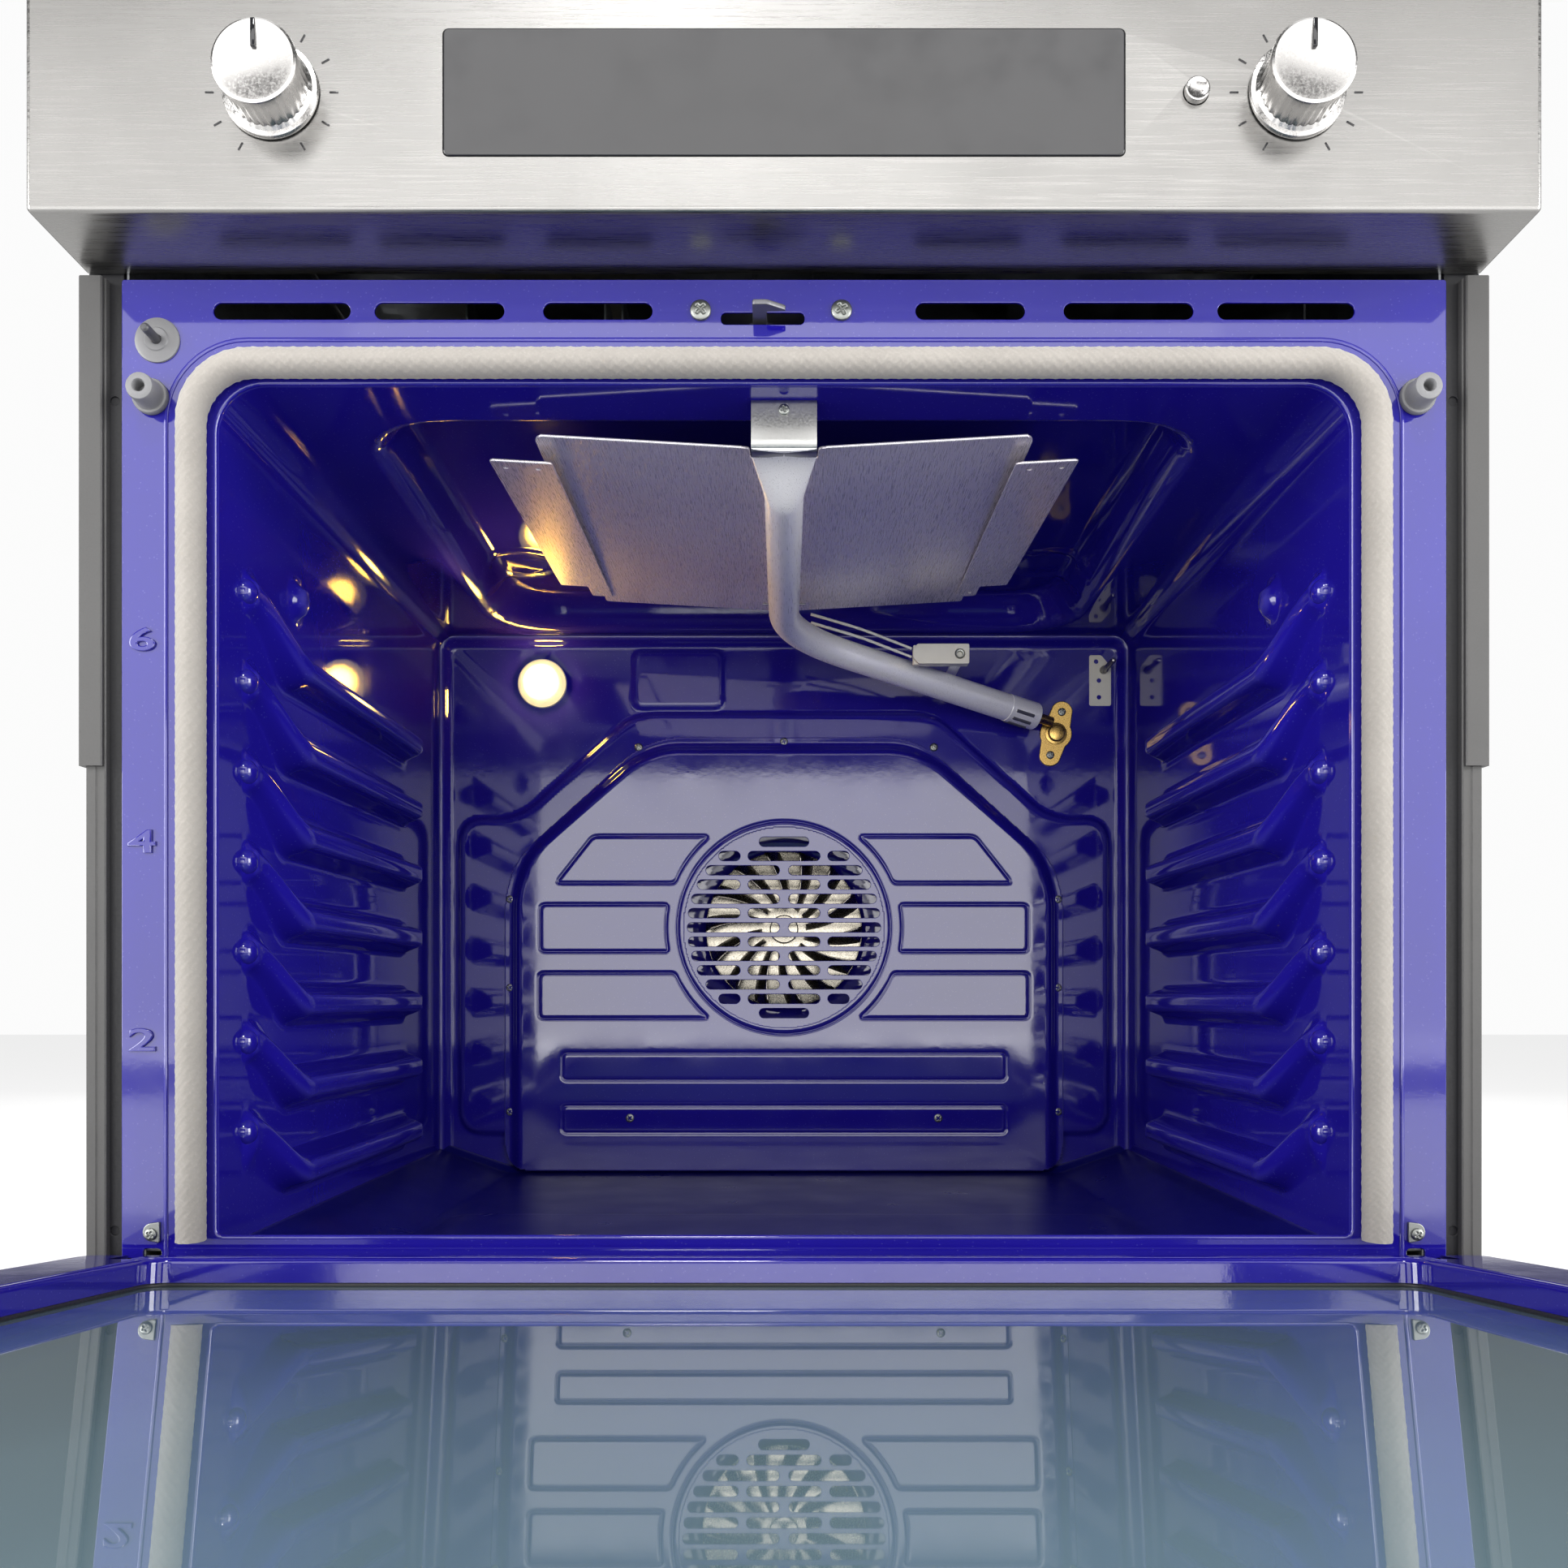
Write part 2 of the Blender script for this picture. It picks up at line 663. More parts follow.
BLUE = (0.010, 0.006, 0.215)
MATERIALS = {
    "blue_enamel": enamel("blue_enamel", BLUE),
    "galvanised_steel": galvanised("galvanised_steel"),
    "stainless_steel": metal(
        "stainless_steel", (0.29, 0.285, 0.277), 0.3, (0.02, 1, 1), grain=1400, depth=0.006
    ),
    "trim_grey": moulded("trim_grey", (0.045, 0.044, 0.043), 0.5, 900, 0.01, 0.3),
    "flange_black": moulded("flange_black", (0.009, 0.009, 0.011), 0.55),
    "zinc_plate": metal("zinc_plate", (0.27, 0.28, 0.265), 0.4),
    "burner_steel": metal(
        "burner_steel", (0.93, 0.92, 0.91), 0.33, (1, 0.02, 1), grain=2600, depth=0.0005, soil=0.08,
        soil_colour=(0.7, 0.65, 0.6), bare=0.4,
    ),
    "deflector_steel": metal(
        "deflector_steel", (0.78, 0.72, 0.75), 0.3, (1, 0.03, 1), grain=2400, depth=0.0004, soil=0.2,
        soil_colour=(0.56, 0.5, 0.52), bare=0.66,
    ),
    "ceramic": moulded("ceramic", (0.62, 0.6, 0.53), 0.6),
    "lead_wire": moulded("lead_wire", (0.55, 0.54, 0.5), 0.5),
    "brass": metal("brass", (0.55, 0.36, 0.11), 0.3, soil=0.4, soil_colour=(0.2, 0.1, 0.05)),
    "lamp_glass": glowing("lamp_glass", (1.0, 0.78, 0.4), 0.95),
    "gasket_fibre": woven_fibre("gasket_fibre"),
    "dark_metal": metal("dark_metal", (0.17, 0.17, 0.185), 0.42, bare=0.8),
    "grey_rubber": moulded("grey_rubber", (0.16, 0.16, 0.165), 0.6, 900, 0.05, 0.4),
    "switch_plastic": moulded("switch_plastic", (0.15, 0.15, 0.155), 0.4),
    "plunger_plastic": moulded("plunger_plastic", (0.05, 0.05, 0.055), 0.4),
    "insulation_wool": wool("insulation_wool"),
    "gas_pipe": metal("gas_pipe", (0.5, 0.36, 0.14), 0.35),
    "display_black": moulded("display_black", (0.012, 0.012, 0.014), 0.08, 40, 0.005, 0.05, 1.55),
    "board_green": moulded("board_green", (0.03, 0.16, 0.06), 0.4),
    "fan_steel": metal("fan_steel", (0.4, 0.37, 0.31), 0.24),
    "knob_metal": metal("knob_metal", (0.5, 0.49, 0.48), 0.24, (1, 0.05, 1), depth=0.006),
    "door_glass": clear_glass("door_glass", (0.26, 0.37, 0.47), 0.6),
    "window_glass": clear_glass("window_glass", (0.012, 0.012, 0.016), 0.9),
    "pad_grey": moulded("pad_grey", (0.05, 0.06, 0.09), 0.7),
    "floor_enamel": enamel("floor_enamel", (0.004, 0.004, 0.1), 0.3, 1.22),
    "bracket_steel": metal("bracket_steel", (0.42, 0.42, 0.41), 0.38, (1, 0.3, 1), depth=0.003, soil=0.15),
    "inner_pane": clear_glass("inner_pane", (0.2, 0.31, 0.36), 0.82),
    "cavity_enamel": enamel("cavity_enamel", BLUE, 0.06, 1.48),
}


def finish(obj, slot_name, body="oven", replaced=(), look=None):
    """Gives a piece its material, its body, its slot and the CAD nodes it stands for."""
    obj.data.materials.clear()
    obj.data.materials.append(MATERIALS[look or slot_name])
    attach(obj, body)
    if replaced:
        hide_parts(*replaced)
    return obj


def dress_cad_nodes():
    """Puts the procedural materials on the CAD nodes that stay visible."""
    for entry in frame["record"]["subparts"]:
        data = frame["nodes"][entry["node"]].data
        if not data.materials:
            data.materials.append(None)
        for i in range(len(data.materials)):
            data.materials[i] = MATERIALS[entry["material_slot"]]


# ---------------------------------------------------------------- cavity
def guide_lift(y):
    """How much higher the sloping nose of a rack guide is than its level stretch."""
    return 30 * (1 - ease((y - 42) / 60))


def wall_heights():
    """Heights up a side wall, closer together across each rack guide."""
    heights = [FLOOR_Z + 2, FLOOR_Z + 12, FLOOR_Z + 20, FLOOR_Z + 27, FLOOR_Z + 33]
    slope = [3.5, 4.5, 6, 7.5, 9, 10.5, 12, 13.5]
    across = [-step for step in reversed(slope)] + [0] + slope + [18, 23, 28, 33]
    for i in range(GUIDE_COUNT):
        heights += [GUIDE_FIRST + GUIDE_PITCH * i + step for step in across]
    heights = [z for z in heights if z < FLOOR_Z + 385]
    return np.array(heights + list(np.arange(FLOOR_Z + 386, FLOOR_Z + 459, 4)))


def cavity_wrap():
    """The side walls and ceiling of the cavity, one sheet with rounded corners and pressed rack guides."""
    depths = np.concatenate([np.linspace(1.6, 30, 10), np.arange(31, 48, 1.2), np.linspace(49, BACK_Y, 140)])
    heights = wall_heights()
    corner = np.radians(np.linspace(0, 90, 10))
    across = np.linspace(0, 1, 70)
    rows = []
    for y in depths:
        back = ease(y / BACK_Y)
        top = CEILING_Z - CEILING_FALL * back
        radius = LIP_RADIUS + (REAR_RADIUS - LIP_RADIUS) * back
        lifted = ease((heights - FLOOR_Z - 20) / 30) * (1 - ease((heights - FLOOR_Z - 390) / 60))
        z = heights + guide_lift(y) * lifted
        grow = ease((y - 34) / 10) * 0.36 + ease((y - 42) / 60) * 0.64
        reach = np.zeros(len(z))
        for i in range(GUIDE_COUNT):
            off = np.abs(heights - GUIDE_FIRST - GUIDE_PITCH * i)
            reach += GUIDE_REACH * (1 - ease((off - 3.5) / 10)) * grow * (1 - ease((y - 346) / 18))
        reach += 8 * (1 - ease((np.hypot(y - 117, z - FLOOR_Z - 405) - 5) / 8))
        wall = np.stack([-CAVITY_HALF + reach, np.full(len(z), y), z], axis=-1)
        round_x = -CAVITY_HALF + radius - radius * np.cos(corner)
        round_z = top - radius + radius * np.sin(corner)
        bend = np.stack([round_x, np.full(10, y), round_z], axis=-1)
        flat_x = (-CAVITY_HALF + radius) * (1 - across[1:])
        flat_z = top + ceiling_recess(flat_x, y)
        flat = np.stack([flat_x, np.full(len(flat_x), y), flat_z], axis=-1)
        half = np.concatenate([wall, bend, flat])
        rows.append(np.concatenate([half, (half * (-1, 1, 1))[-2::-1]]))
    wrap = thicken(surface("cavity_wrap", np.array(rows), angle=60))
    walls = ["cavity_wall_left", "cavity_wall_right", "cavity_ceiling"]
    finish(wrap, "blue_enamel", replaced=walls, look="cavity_enamel")


def guide_noses():
    """Rounded bumps where the rack guides begin, near the opening."""
    turns = np.radians(np.linspace(0, 90, 9))
    noses = []
    for i in range(GUIDE_COUNT):
        profile = [(7.5 * math.cos(t), 1.5 + 6.5 * math.sin(t)) for t in turns]
        at = (-CAVITY_HALF, 40, GUIDE_FIRST + GUIDE_PITCH * i + 30)
        noses.append(lathe("nose", [(7.6, -0.8)] + profile, at, "x", 32, hollow=True))
    finish(mirrored(join("guide_noses", noses)), "blue_enamel")


def ceiling_recess(x, y):
    """Height of the raised recess in the ceiling, with sloping sides."""
    outline = rounded_rect((-252, 45), (252, 458), 60, 6)
    inside = depth_inside(x, np.full(x.shape, float(y)), outline)
    ring = np.hypot(x + 212, y - 362) - 30
    return 28 * ease(inside / 24) - 1.6 * np.exp(-(ring / 2.5) ** 2)


def floor_tray():
    """The cavity floor: sloping sides, a step towards the back and an upstand behind the front lip."""
    x = np.concatenate([np.linspace(-CAVITY_HALF + 0.1, -TRAY_HALF + 8, 24), np.linspace(-236, 236, 48)])
    x = np.concatenate([x, np.linspace(TRAY_HALF - 8, CAVITY_HALF - 0.1, 24)])
    y = np.concatenate([np.linspace(1.7, 30, 14), np.linspace(34, 480, 113)])
    grid_x, grid_y = np.meshgrid(x, y, indexing="ij")
    side = np.clip((np.abs(grid_x) - TRAY_HALF) / (CAVITY_HALF - TRAY_HALF), 0, 1)
    z = FLOOR_Z + TRAY_RISE * side
    step = 2.5 * (1 - ease((grid_y - 229) / 7)) * ease((grid_y - 60) / 8)
    z += step * (1 - ease((np.abs(grid_x) - 225) / 12))
    z += (LIP_Z - FLOOR_Z - TRAY_RISE * side - 0.6) * (1 - ease((grid_y - 3) / 16))
    z += 6 * ease((grid_y - 470) / 9)
    grid = np.stack([grid_x, np.minimum(grid_y, BACK_Y - 0.2), z], axis=-1)
    tray = thicken(surface("floor_tray", grid[::-1], angle=60))
    finish(tray, "blue_enamel", replaced=["cavity_floor"], look="floor_enamel")


def raised_back_outline():
    """Outline of the part of the back wall that is pressed forward."""
    half = [(139, FLOOR_Z + 405), (237, FLOOR_Z + 316), (290, FLOOR_Z + 316), (290, FLOOR_Z + 35)]
    low = [(-x, z) for x, z in reversed(half)]
    return softened([(120, FLOOR_Z + 410)] + half + low + [(-120, FLOOR_Z + 410)], 22)


def back_wall():
    """The cavity's back wall with its pressed steps, and the round chamber that holds the fan."""
    x, z = np.meshgrid(np.linspace(-CAVITY_HALF, CAVITY_HALF, 270), np.linspace(FLOOR_Z, 600, 212))
    inside = depth_inside(x, z, raised_back_outline())
    window = depth_inside(x, z, rounded_rect((-135, FLOOR_Z + 416), (-55, FLOOR_Z + 467), 8))
    rise = 5 * ease((inside + 3) / 6) + 3 * ease((window + 2) / 4)
    rim = depth_inside(x, z, rounded_rect((-CAVITY_HALF, FLOOR_Z - 60), (CAVITY_HALF, 600), REAR_RADIUS))
    rise += 9 * (1 - ease(rim / 10))
    grid = np.stack([x, BACK_Y - rise, z], axis=-1)
    middle = np.hypot(x, z - FAN_Z)
    keep = middle[:-1, :-1] > 108
    wall = thicken(surface("back_wall_sheet", grid[:, ::-1], keep[:, ::-1], angle=60))
    finish(wall, "blue_enamel", replaced=["cavity_back"], look="cavity_enamel")
    cup = shifted(BACK_Y, [(8, 35), (108, 35), (111, 31), (111, -0.5)])
    chamber = thicken(lathe("fan_chamber", cup, (0, 0, FAN_Z), sides=72, hollow=True), 1)
    finish(chamber, "blue_enamel")


# ---------------------------------------------------------------- fan cover
def cover_outline(inset):
    """Outline of the fan cover's raised face, moved inwards by inset."""
    side = cover_high[0] - 17 - inset
    top = FLOOR_Z + 372 - inset
    base = FLOOR_Z + 2
    half = [(side, base), (side, FLOOR_Z + 249), (side - 12, FLOOR_Z + 282), (132, FLOOR_Z + 361 - inset)]
    half.append((105, top))
    return softened(half + [(-x, z) for x, z in reversed(half)], 24)


def beside_grille(low, high, outer_low, outer_high):
    """Panel between two heights whose inner edge follows the grille's ring."""
    ring = 105
    inner = [(math.sqrt(ring ** 2 - (z - FAN_Z) ** 2), z) for z in np.linspace(low, high, 7)]
    return softened(inner + [(outer_high, high), (outer_low, low)], 5, steps=3)


def cover_panels():
    """Outlines of the pressed panels on the cover, at positive X or across its middle."""
    sides = [
        beside_grille(FLOOR_Z + 258, FLOOR_Z + 300, 203, 170),
        beside_grille(FLOOR_Z + 197, FLOOR_Z + 239, 217, 217),
        beside_grille(FLOOR_Z + 137.5, FLOOR_Z + 178, 218, 218),
    ]
    strips = [rounded_rect((-197, FLOOR_Z + low), (197, FLOOR_Z + low + 24), 4) for low in (36, 83)]
    return sides, strips


def fan_cover_sheet():
    """The pressed cover over the fan: a sloping skirt, a beaded edge and outlined panels."""
    half = cover_high[0] - 0.3
    x, z = np.meshgrid(np.linspace(-half, half, 500), np.linspace(FLOOR_Z + 2.4, cover_high[2] - 0.3, 386))
    reach = BACK_Y - COVER_FRONT
    inside = depth_inside(x, z, cover_outline(0))
    beside = cover_high[0] - 17 - np.abs(x)
    inside = np.where(z < FLOOR_Z + 200, beside, inside)
    rise = 6.4 + (reach - 6.4) * ease((inside + 12) / 12)
    sides, strips = cover_panels()
    for outline in sides:
        rise -= 1.2 * np.exp(-(depth_inside(np.abs(x), z, outline) / 1.1) ** 2)
    for outline in strips:
        rise -= 1.2 * np.exp(-(depth_inside(x, z, outline) / 1.1) ** 2)
    middle = np.hypot(x, z - FAN_Z)
    rise -= 1.3 * np.exp(-((middle - 94.5) / 1.2) ** 2)
    grid = np.stack([x, BACK_Y - rise, z], axis=-1)
    edge = depth_inside(x, z, cover_outline(-17))
    keep = (middle[:-1, :-1] > 88.5) & (middle[1:, 1:] > 88.5) & (edge[:-1, :-1] > 0) & (edge[1:, 1:] > 0)
    sheet = thicken(surface("fan_cover_sheet", grid[:, ::-1], keep[:, ::-1], angle=70), 0.9)
    finish(sheet, "blue_enamel", replaced=["fan_cover"])


def grille_slots():
    """Slots of the round grille: rows with one bridge alternate with rows with two."""
    loops = []
    for i in range(GRILLE_ROWS):
        z = FAN_Z + (i - GRILLE_ROWS // 2) * GRILLE_PITCH
        reach = math.sqrt(GRILLE_RADIUS ** 2 - (z - FAN_Z) ** 2)
        if i in (0, GRILLE_ROWS - 1):
            spans = [(-22, 22)]
        elif i % 2 == 0:
            spans = [(-reach, -4), (4, reach)]
        else:
            spans = [(-reach, -39), (-32, 32), (39, reach)]
        loops += [slot(a, b, z, 8.4, 5) for a, b in spans]
    return loops


def grille():
    """Slotted disc in the fan cover with its rounded rim."""
    outline = circle(0, FAN_Z, 90.5, 96)
    disc = plate("grille_disc", [outline] + grille_slots(), COVER_FRONT + 0.02, 1.1, 0.5)
    rim = [(88.4, 0.6), (88.8, 0.1), (90, 0), (92.5, 0.05), (92.5, 1), (88.4, 1), (88.4, 0.6)]
    ring = lathe("grille_ring", shifted(COVER_FRONT, rim), (0, 0, FAN_Z), sides=96, hollow=True)
    finish(join("fan_grille", [disc, ring]), "blue_enamel")


def fan_blade(number):
    """One blade, curved outwards from the hub and twisted across its depth."""
    radius, depth = np.meshgrid(np.linspace(20, 70.5, 10), np.linspace(FAN_BACK - 20, FAN_BACK - 1, 5))
    twist = 11 * (FAN_BACK - depth) / 19
    lean = np.radians(16 * (radius - 20) / 50 + twist + number * 360 / BLADE_COUNT)
    grid = np.stack([radius * np.cos(lean), depth, radius * np.sin(lean)], axis=-1)
    return thickened(surface("blade", grid, angle=60), 0.9)


def convection_fan():
    """The fan behind the grille: a hub, a disc, curved blades and the shaft."""
    hub = [(0, -24), (3.6, -24), (4, -23), (4, -11), (12, -10.5), (13, -9.5), (13, -1), (13, 0)]
    disc = [(13, -1.2), (70, -1.2), (71.6, -0.9), (71.6, -0.2), (70, 0), (4, 0)]
    parts = [lathe("hub", shifted(FAN_BACK, hub)), lathe("disc", shifted(FAN_BACK, disc), sides=72)]
    parts += [fan_blade(i) for i in range(BLADE_COUNT)]
    parts.append(lathe("shaft", shifted(FAN_BACK, [(4, -1), (4, 53)])))
    fan = moved(join("fan_rotor", parts), offset=(0, 0, FAN_Z))
    finish(fan, "fan_steel", "fan", ["convection_fan"])


def cover_screws():
    """Screws round the fan cover's flange and the two in its lower strip."""
    places = [(-130, 380), (134, 380), (0, 385)] + [(x, z) for x in (-245, 245) for z in (244, 165, 54)]
    heads = [screw("s", x, BACK_Y - 6.3, FLOOR_Z + z, 3.6, 2, 11 * i) for i, (x, z) in enumerate(places)]
    heads += [screw("s", x, COVER_FRONT, FLOOR_Z + 49, 3.9, 1.9, x) for x in (-137, 137)]
    finish(join("cover_screw_heads", heads), "zinc_plate", replaced=["cover_screws"])


# ---------------------------------------------------------------- burner, lamp and sensor
BURNER_FRONT = (0, 78, FLOOR_Z + 454)
BURNER_BEND = (0, 362, FLOOR_Z + 451)
BURNER_END = np.array((222, 461, FLOOR_Z + 405), float)
BURNER_RADIUS = 11.6
BURNER_HEADING = (BURNER_END - BURNER_BEND) / np.linalg.norm(BURNER_END - BURNER_BEND)


def flattened_end():
    """Front end of the burner, squeezed flat under its hanger."""
    rings = []
    turns = np.linspace(0, 2 * math.pi, 40, endpoint=False)
    for y in np.linspace(79, 20.6, 16):
        flat = float(ease((74 - y) / 46))
        wide = BURNER_RADIUS + 6.7 * flat
        tall = BURNER_RADIUS - 10.1 * flat
        middle = FLOOR_Z + 454 + 7.5 * flat
        rings.append(np.stack([wide * np.cos(turns), np.full(40, y), middle + tall * np.sin(turns)], axis=-1))
    return loft("flattened_end", rings, False, True, 50)


def flame_ports():
    """A row of ports along each side of the burner's straight stretch, a little above its middle."""
    rise = math.radians(24)
    reach = 11.45
    rim = [(0, -0.1), (1.3, -0.1), (1.5, 0.1), (1.5, 0.25), (0, 0.25)]
    ports = []
    for side, turn in ((-1, 204), (1, -24)):
        for y in np.arange(76, 330, 7.0):
            at = (side * reach * math.cos(rise), y, FLOOR_Z + 453.6 + reach * math.sin(rise))
            port = moved(lathe("port", rim, axis="x", sides=10), turn=turn, axis="Y")
            ports.append(moved(port, offset=at))
    return ports


def shutter_slots():
    """Air slots along the lower side of the burner's inlet end."""
    side = np.cross(BURNER_HEADING, (0, 0, 1))
    side /= np.linalg.norm(side)
    over = np.cross(side, BURNER_HEADING)
    slots = []
    for turn in np.radians(range(200, 341, 35)):
        away = math.cos(turn) * side + math.sin(turn) * over
        line = [BURNER_END - BURNER_HEADING * d + away * 11.9 for d in (26, 17, 8)]
        slots.append(sweep("shutter_slot", line, 1.5, sides=8))
    return slots


def broil_burner():
    """Brushed tube with its bend, flame ports, flattened front end, air shutter and orifice spud."""
    path = softened([BURNER_FRONT, BURNER_BEND, BURNER_END], 60, closed=False, steps=22)
    path = [path[0] + (path[1] - path[0]) * t for t in np.linspace(0, 0.97, 20)] + path[1:]
    tube = sweep("burner_tube", path, BURNER_RADIUS, sides=40)
    cap = flattened_end()
    collar = sweep("air_shutter", [BURNER_END - BURNER_HEADING * d for d in (30, 29, 20, 6, 1)], 12, sides=40)
    finish(join("burner_ports", flame_ports() + shutter_slots()), "dark_metal")
    spud = sweep("orifice_spud", [BURNER_END + BURNER_HEADING * d for d in (-3, 4, 18)], 4.4, sides=24)
    finish(spud, "brass")
    finish(join("broil_burner_tube", [tube, cap, collar]), "burner_steel", replaced=["broil_burner"])


def burner_bracket():
    """Hanger that carries the front end of the burner from the ceiling, with its screw."""
    top = CEILING_Z - 0.8
    shelf = FLOOR_Z + 464
    line = [(40, top), (18.8, top), (18.8, shelf), (21.5, shelf - 4), (30, shelf - 4)]
    hanger = strip("hanger", line, -18.3, 18.3, 1.4)
    finish(hanger, "burner_steel", replaced=["burner_bracket"], look="bracket_steel")
    finish(screw("hanger_screw", 0, 18.7, FLOOR_Z + 482, 3, 1.4), "zinc_plate")


def sloping_plate(name, loops, height, thickness, slope_x, slope_y):
    """A flat sheet whose height grows with X and Y by the given slopes."""
    sheet = plate(name, loops, 0, thickness, 0.3, flat=True)
    tilt = Matrix.Identity(4)
    tilt[2][0] = slope_x
    tilt[2][1] = slope_y
    sheet.data.transform(tilt)
    return moved(sheet, offset=(0, 0, height))


def broil_deflector():
    """Shallow V of satin sheet above the burner, with a lowered tab on each side."""
    slope = 10 / 173
    base = FLOOR_Z + 468
    main = [(0, 54.5), (19.5, 54.5), (19.5, 40.2), (140, 40.2), (143, 46), (143, 357), (0, 357)]
    wing = sloping_plate("wing", [softened(main, 3, closed=False)], base, 1.4, slope, 0)
    tab_outline = softened([(136, 62), (173, 62), (173, 315), (152, 315), (152, 340), (136, 340)], 2.5)
    holes = [circle(x, y, 1.6, 20) for x, y in ((146, 72), (165, 72), (146, 330))]
    tab = sloping_plate("tab", [tab_outline] + holes, base - 8, 1.2, slope, 0.02)
    finish(mirrored(join("deflector_wings", [wing, tab])), "deflector_steel", replaced=["broil_deflector"])
    hem = sweep("hem", [(x, 40.4, base + 0.7 + x * slope) for x in (24, 80, 139)], 0.9, sides=10)
    tab_hem = sweep("tab_hem", [(x, 62.3, base - 6.2 + x * slope) for x in (139, 155, 171)], 0.9, sides=10)
    finish(mirrored(join("deflector_hem", [hem, tab_hem])), "deflector_steel")
    marks = block("marks", (9, 337.6, base - 0.2), (17, 338.6, base + 0.6), 0.1)
    finish(mirrored(marks), "dark_metal")


def broil_igniter():
    """Hot-surface igniter: a ceramic block with a pointed end and an eyelet, on a bent steel foot."""
    z0 = FLOOR_Z + 431.2
    z1 = FLOOR_Z + 447.8
    eyelet_at = (145, (z0 + z1) / 2)
    outline = [(106.2, z0 + 5), (111, z0), (152.8, z0), (152.8, z1), (110, z1), (106.2, z1 - 5)]
    face = plate("face", [softened(outline, 1.6), circle(*eyelet_at, 4.2, 32)], 378.2, 4, 0.7)
    body = block("body", (106.8, 382, z0 + 0.2), (152.6, 389.8, z1 - 0.2), 1)
    foot_z = FLOOR_Z + 436.8
    line = [(389, foot_z), (BACK_Y - 1.2, foot_z), (BACK_Y - 1.2, FLOOR_Z + 425)]
    foot = strip("foot", line, 140.4, 149.6, 1.2)
    finish(foot, "burner_steel")
    finish(join("igniter_block", [face, body]), "ceramic", replaced=["broil_igniter"])
    rim = [(2.4, 380.6), (2.6, 379.2), (3.4, 379.0), (4.1, 379.6), (4.1, 382), (2.4, 382), (2.4, 380.6)]
    eyelet = lathe("igniter_eyelet", rim, (eyelet_at[0], 0, eyelet_at[1]), sides=32, hollow=True)
    finish(eyelet, "zinc_plate")


def igniter_leads():
    """Two sleeved wires from the burner to the igniter block, with the ripple of their braid."""
    route = [(22, 372, 470), (40, 375.5, 465.8), (64, 380, 460), (86, 382, 452), (105.6, 384, 445)]

    def braid(length, turn):
        return 0.12 * np.cos(2 * turn + length * 1.1)

    for i, drop in enumerate((0, 7)):
        line = softened([(x, y, FLOOR_Z + z - drop) for x, y, z in route], 12, closed=False)
        lead = sweep(f"igniter_lead_{i + 1}", line, 1.15, sides=12, ripple=braid)
        finish(lead, "lead_wire", replaced=["igniter_leads"] if i == 0 else ())


def broil_orifice():
    """Brass flange, screwed to the back wall at a slant, with the orifice that feeds the burner."""
    turn = 15
    at = (244, BACK_Y - 0.2, FLOOR_Z + 393)
    ears = arc(0, 20, 9.8, 20, 160, 12) + arc(0, 0, 14.4, 140, 220, 8) + arc(0, -20, 9.8, 200, 340, 12)
    ears += arc(0, 0, 14.4, -40, 40, 8)
    flange = plate("flange", [ears], -3, 2.8, 0.7)
    hub = [(0, -8), (4, -8), (6.5, -7.4), (7.5, -6), (7.5, -4), (9.5, -3.6), (10, -2.8), (10, 0)]
    screws = [screw("s", 0, -2.9, side * 20, 3.6, 1.9, 40 * side) for side in (-1, 1)]
    body = moved(join("brass_flange", [flange, lathe("hub", hub)]), turn=turn)
    finish(moved(body, offset=at), "brass", replaced=["broil_orifice"])
    finish(moved(moved(join("flange_screws", screws), turn=turn), offset=at), "zinc_plate")


def oven_lamp():
    """Domed glass of the lit lamp in a thin retaining ring."""
    at = (LAMP_AT[0], 0, LAMP_AT[1])
    dome = [(0, -11.9), (8, -11.5), (15, -9.8), (19.4, -7), (20.8, -4), (20.8, -0.3)]
    finish(lathe("lamp_dome", shifted(BACK_Y, dome), at, sides=64), "lamp_glass", replaced=["lamp_lens"])
    ring = [(20.8, -0.3), (20.9, -3.2), (21.6, -3.6), (22, -2.6), (22, -0.3), (20.8, -0.3)]
    finish(lathe("lamp_ring", shifted(BACK_Y, ring), at, sides=64, hollow=True), "ceramic")


def temperature_sensor():
    """Pierced mounting plate with a cut corner and the probe that reaches into the cavity."""
    x = 284
    z = FLOOR_Z + 441
    corners = [(-9.8, -22.8), (9.8, -22.8), (9.8, 12), (1, 22.8), (-9.8, 22.8)]
    outline = softened([(x + right, z + up) for right, up in corners], 2)
    holes = [circle(x + right, z + up, 2, 20) for right, up in ((-1, -15), (-1, 0), (-3.5, 17))]
    mount = plate("sensor_plate", [outline] + holes, BACK_Y - 1.7, 1.5, 0.4)
    finish(mount, "ceramic", replaced=["temperature_sensor"])
    tip = shifted(BACK_Y, [(0, -39.8), (1.4, -39.3), (2.3, -37.5), (2.4, -8), (3.6, -6), (3.6, -1.6)])
    finish(lathe("sensor_probe", tip, (x + 3, 0, z + 9), sides=24), "stainless_steel")


# ---------------------------------------------------------------- front frame
def vent_loops():
    """Three vent slots on each side of the latch."""
    loops = []
    for low, high in ((71, 130), (151, 221), (234, 308)):
        loops += [slot(low, high, VENT_Z, 9), slot(-high, -low, VENT_Z, 9)]
    return loops


def opening_path(half, top, radius, bottom):
    """Line up one side of the opening, over it and down the other."""
    left = [(-half, z) for z in np.arange(bottom, top - radius, 6.0)]
    right = [(-x, z) for x, z in reversed(left)]
    high = top - radius
    over = arc(-half + radius, high, radius, 180, 90, 12) + arc(half - radius, high, radius, 90, 0, 12)
    return left + over + right


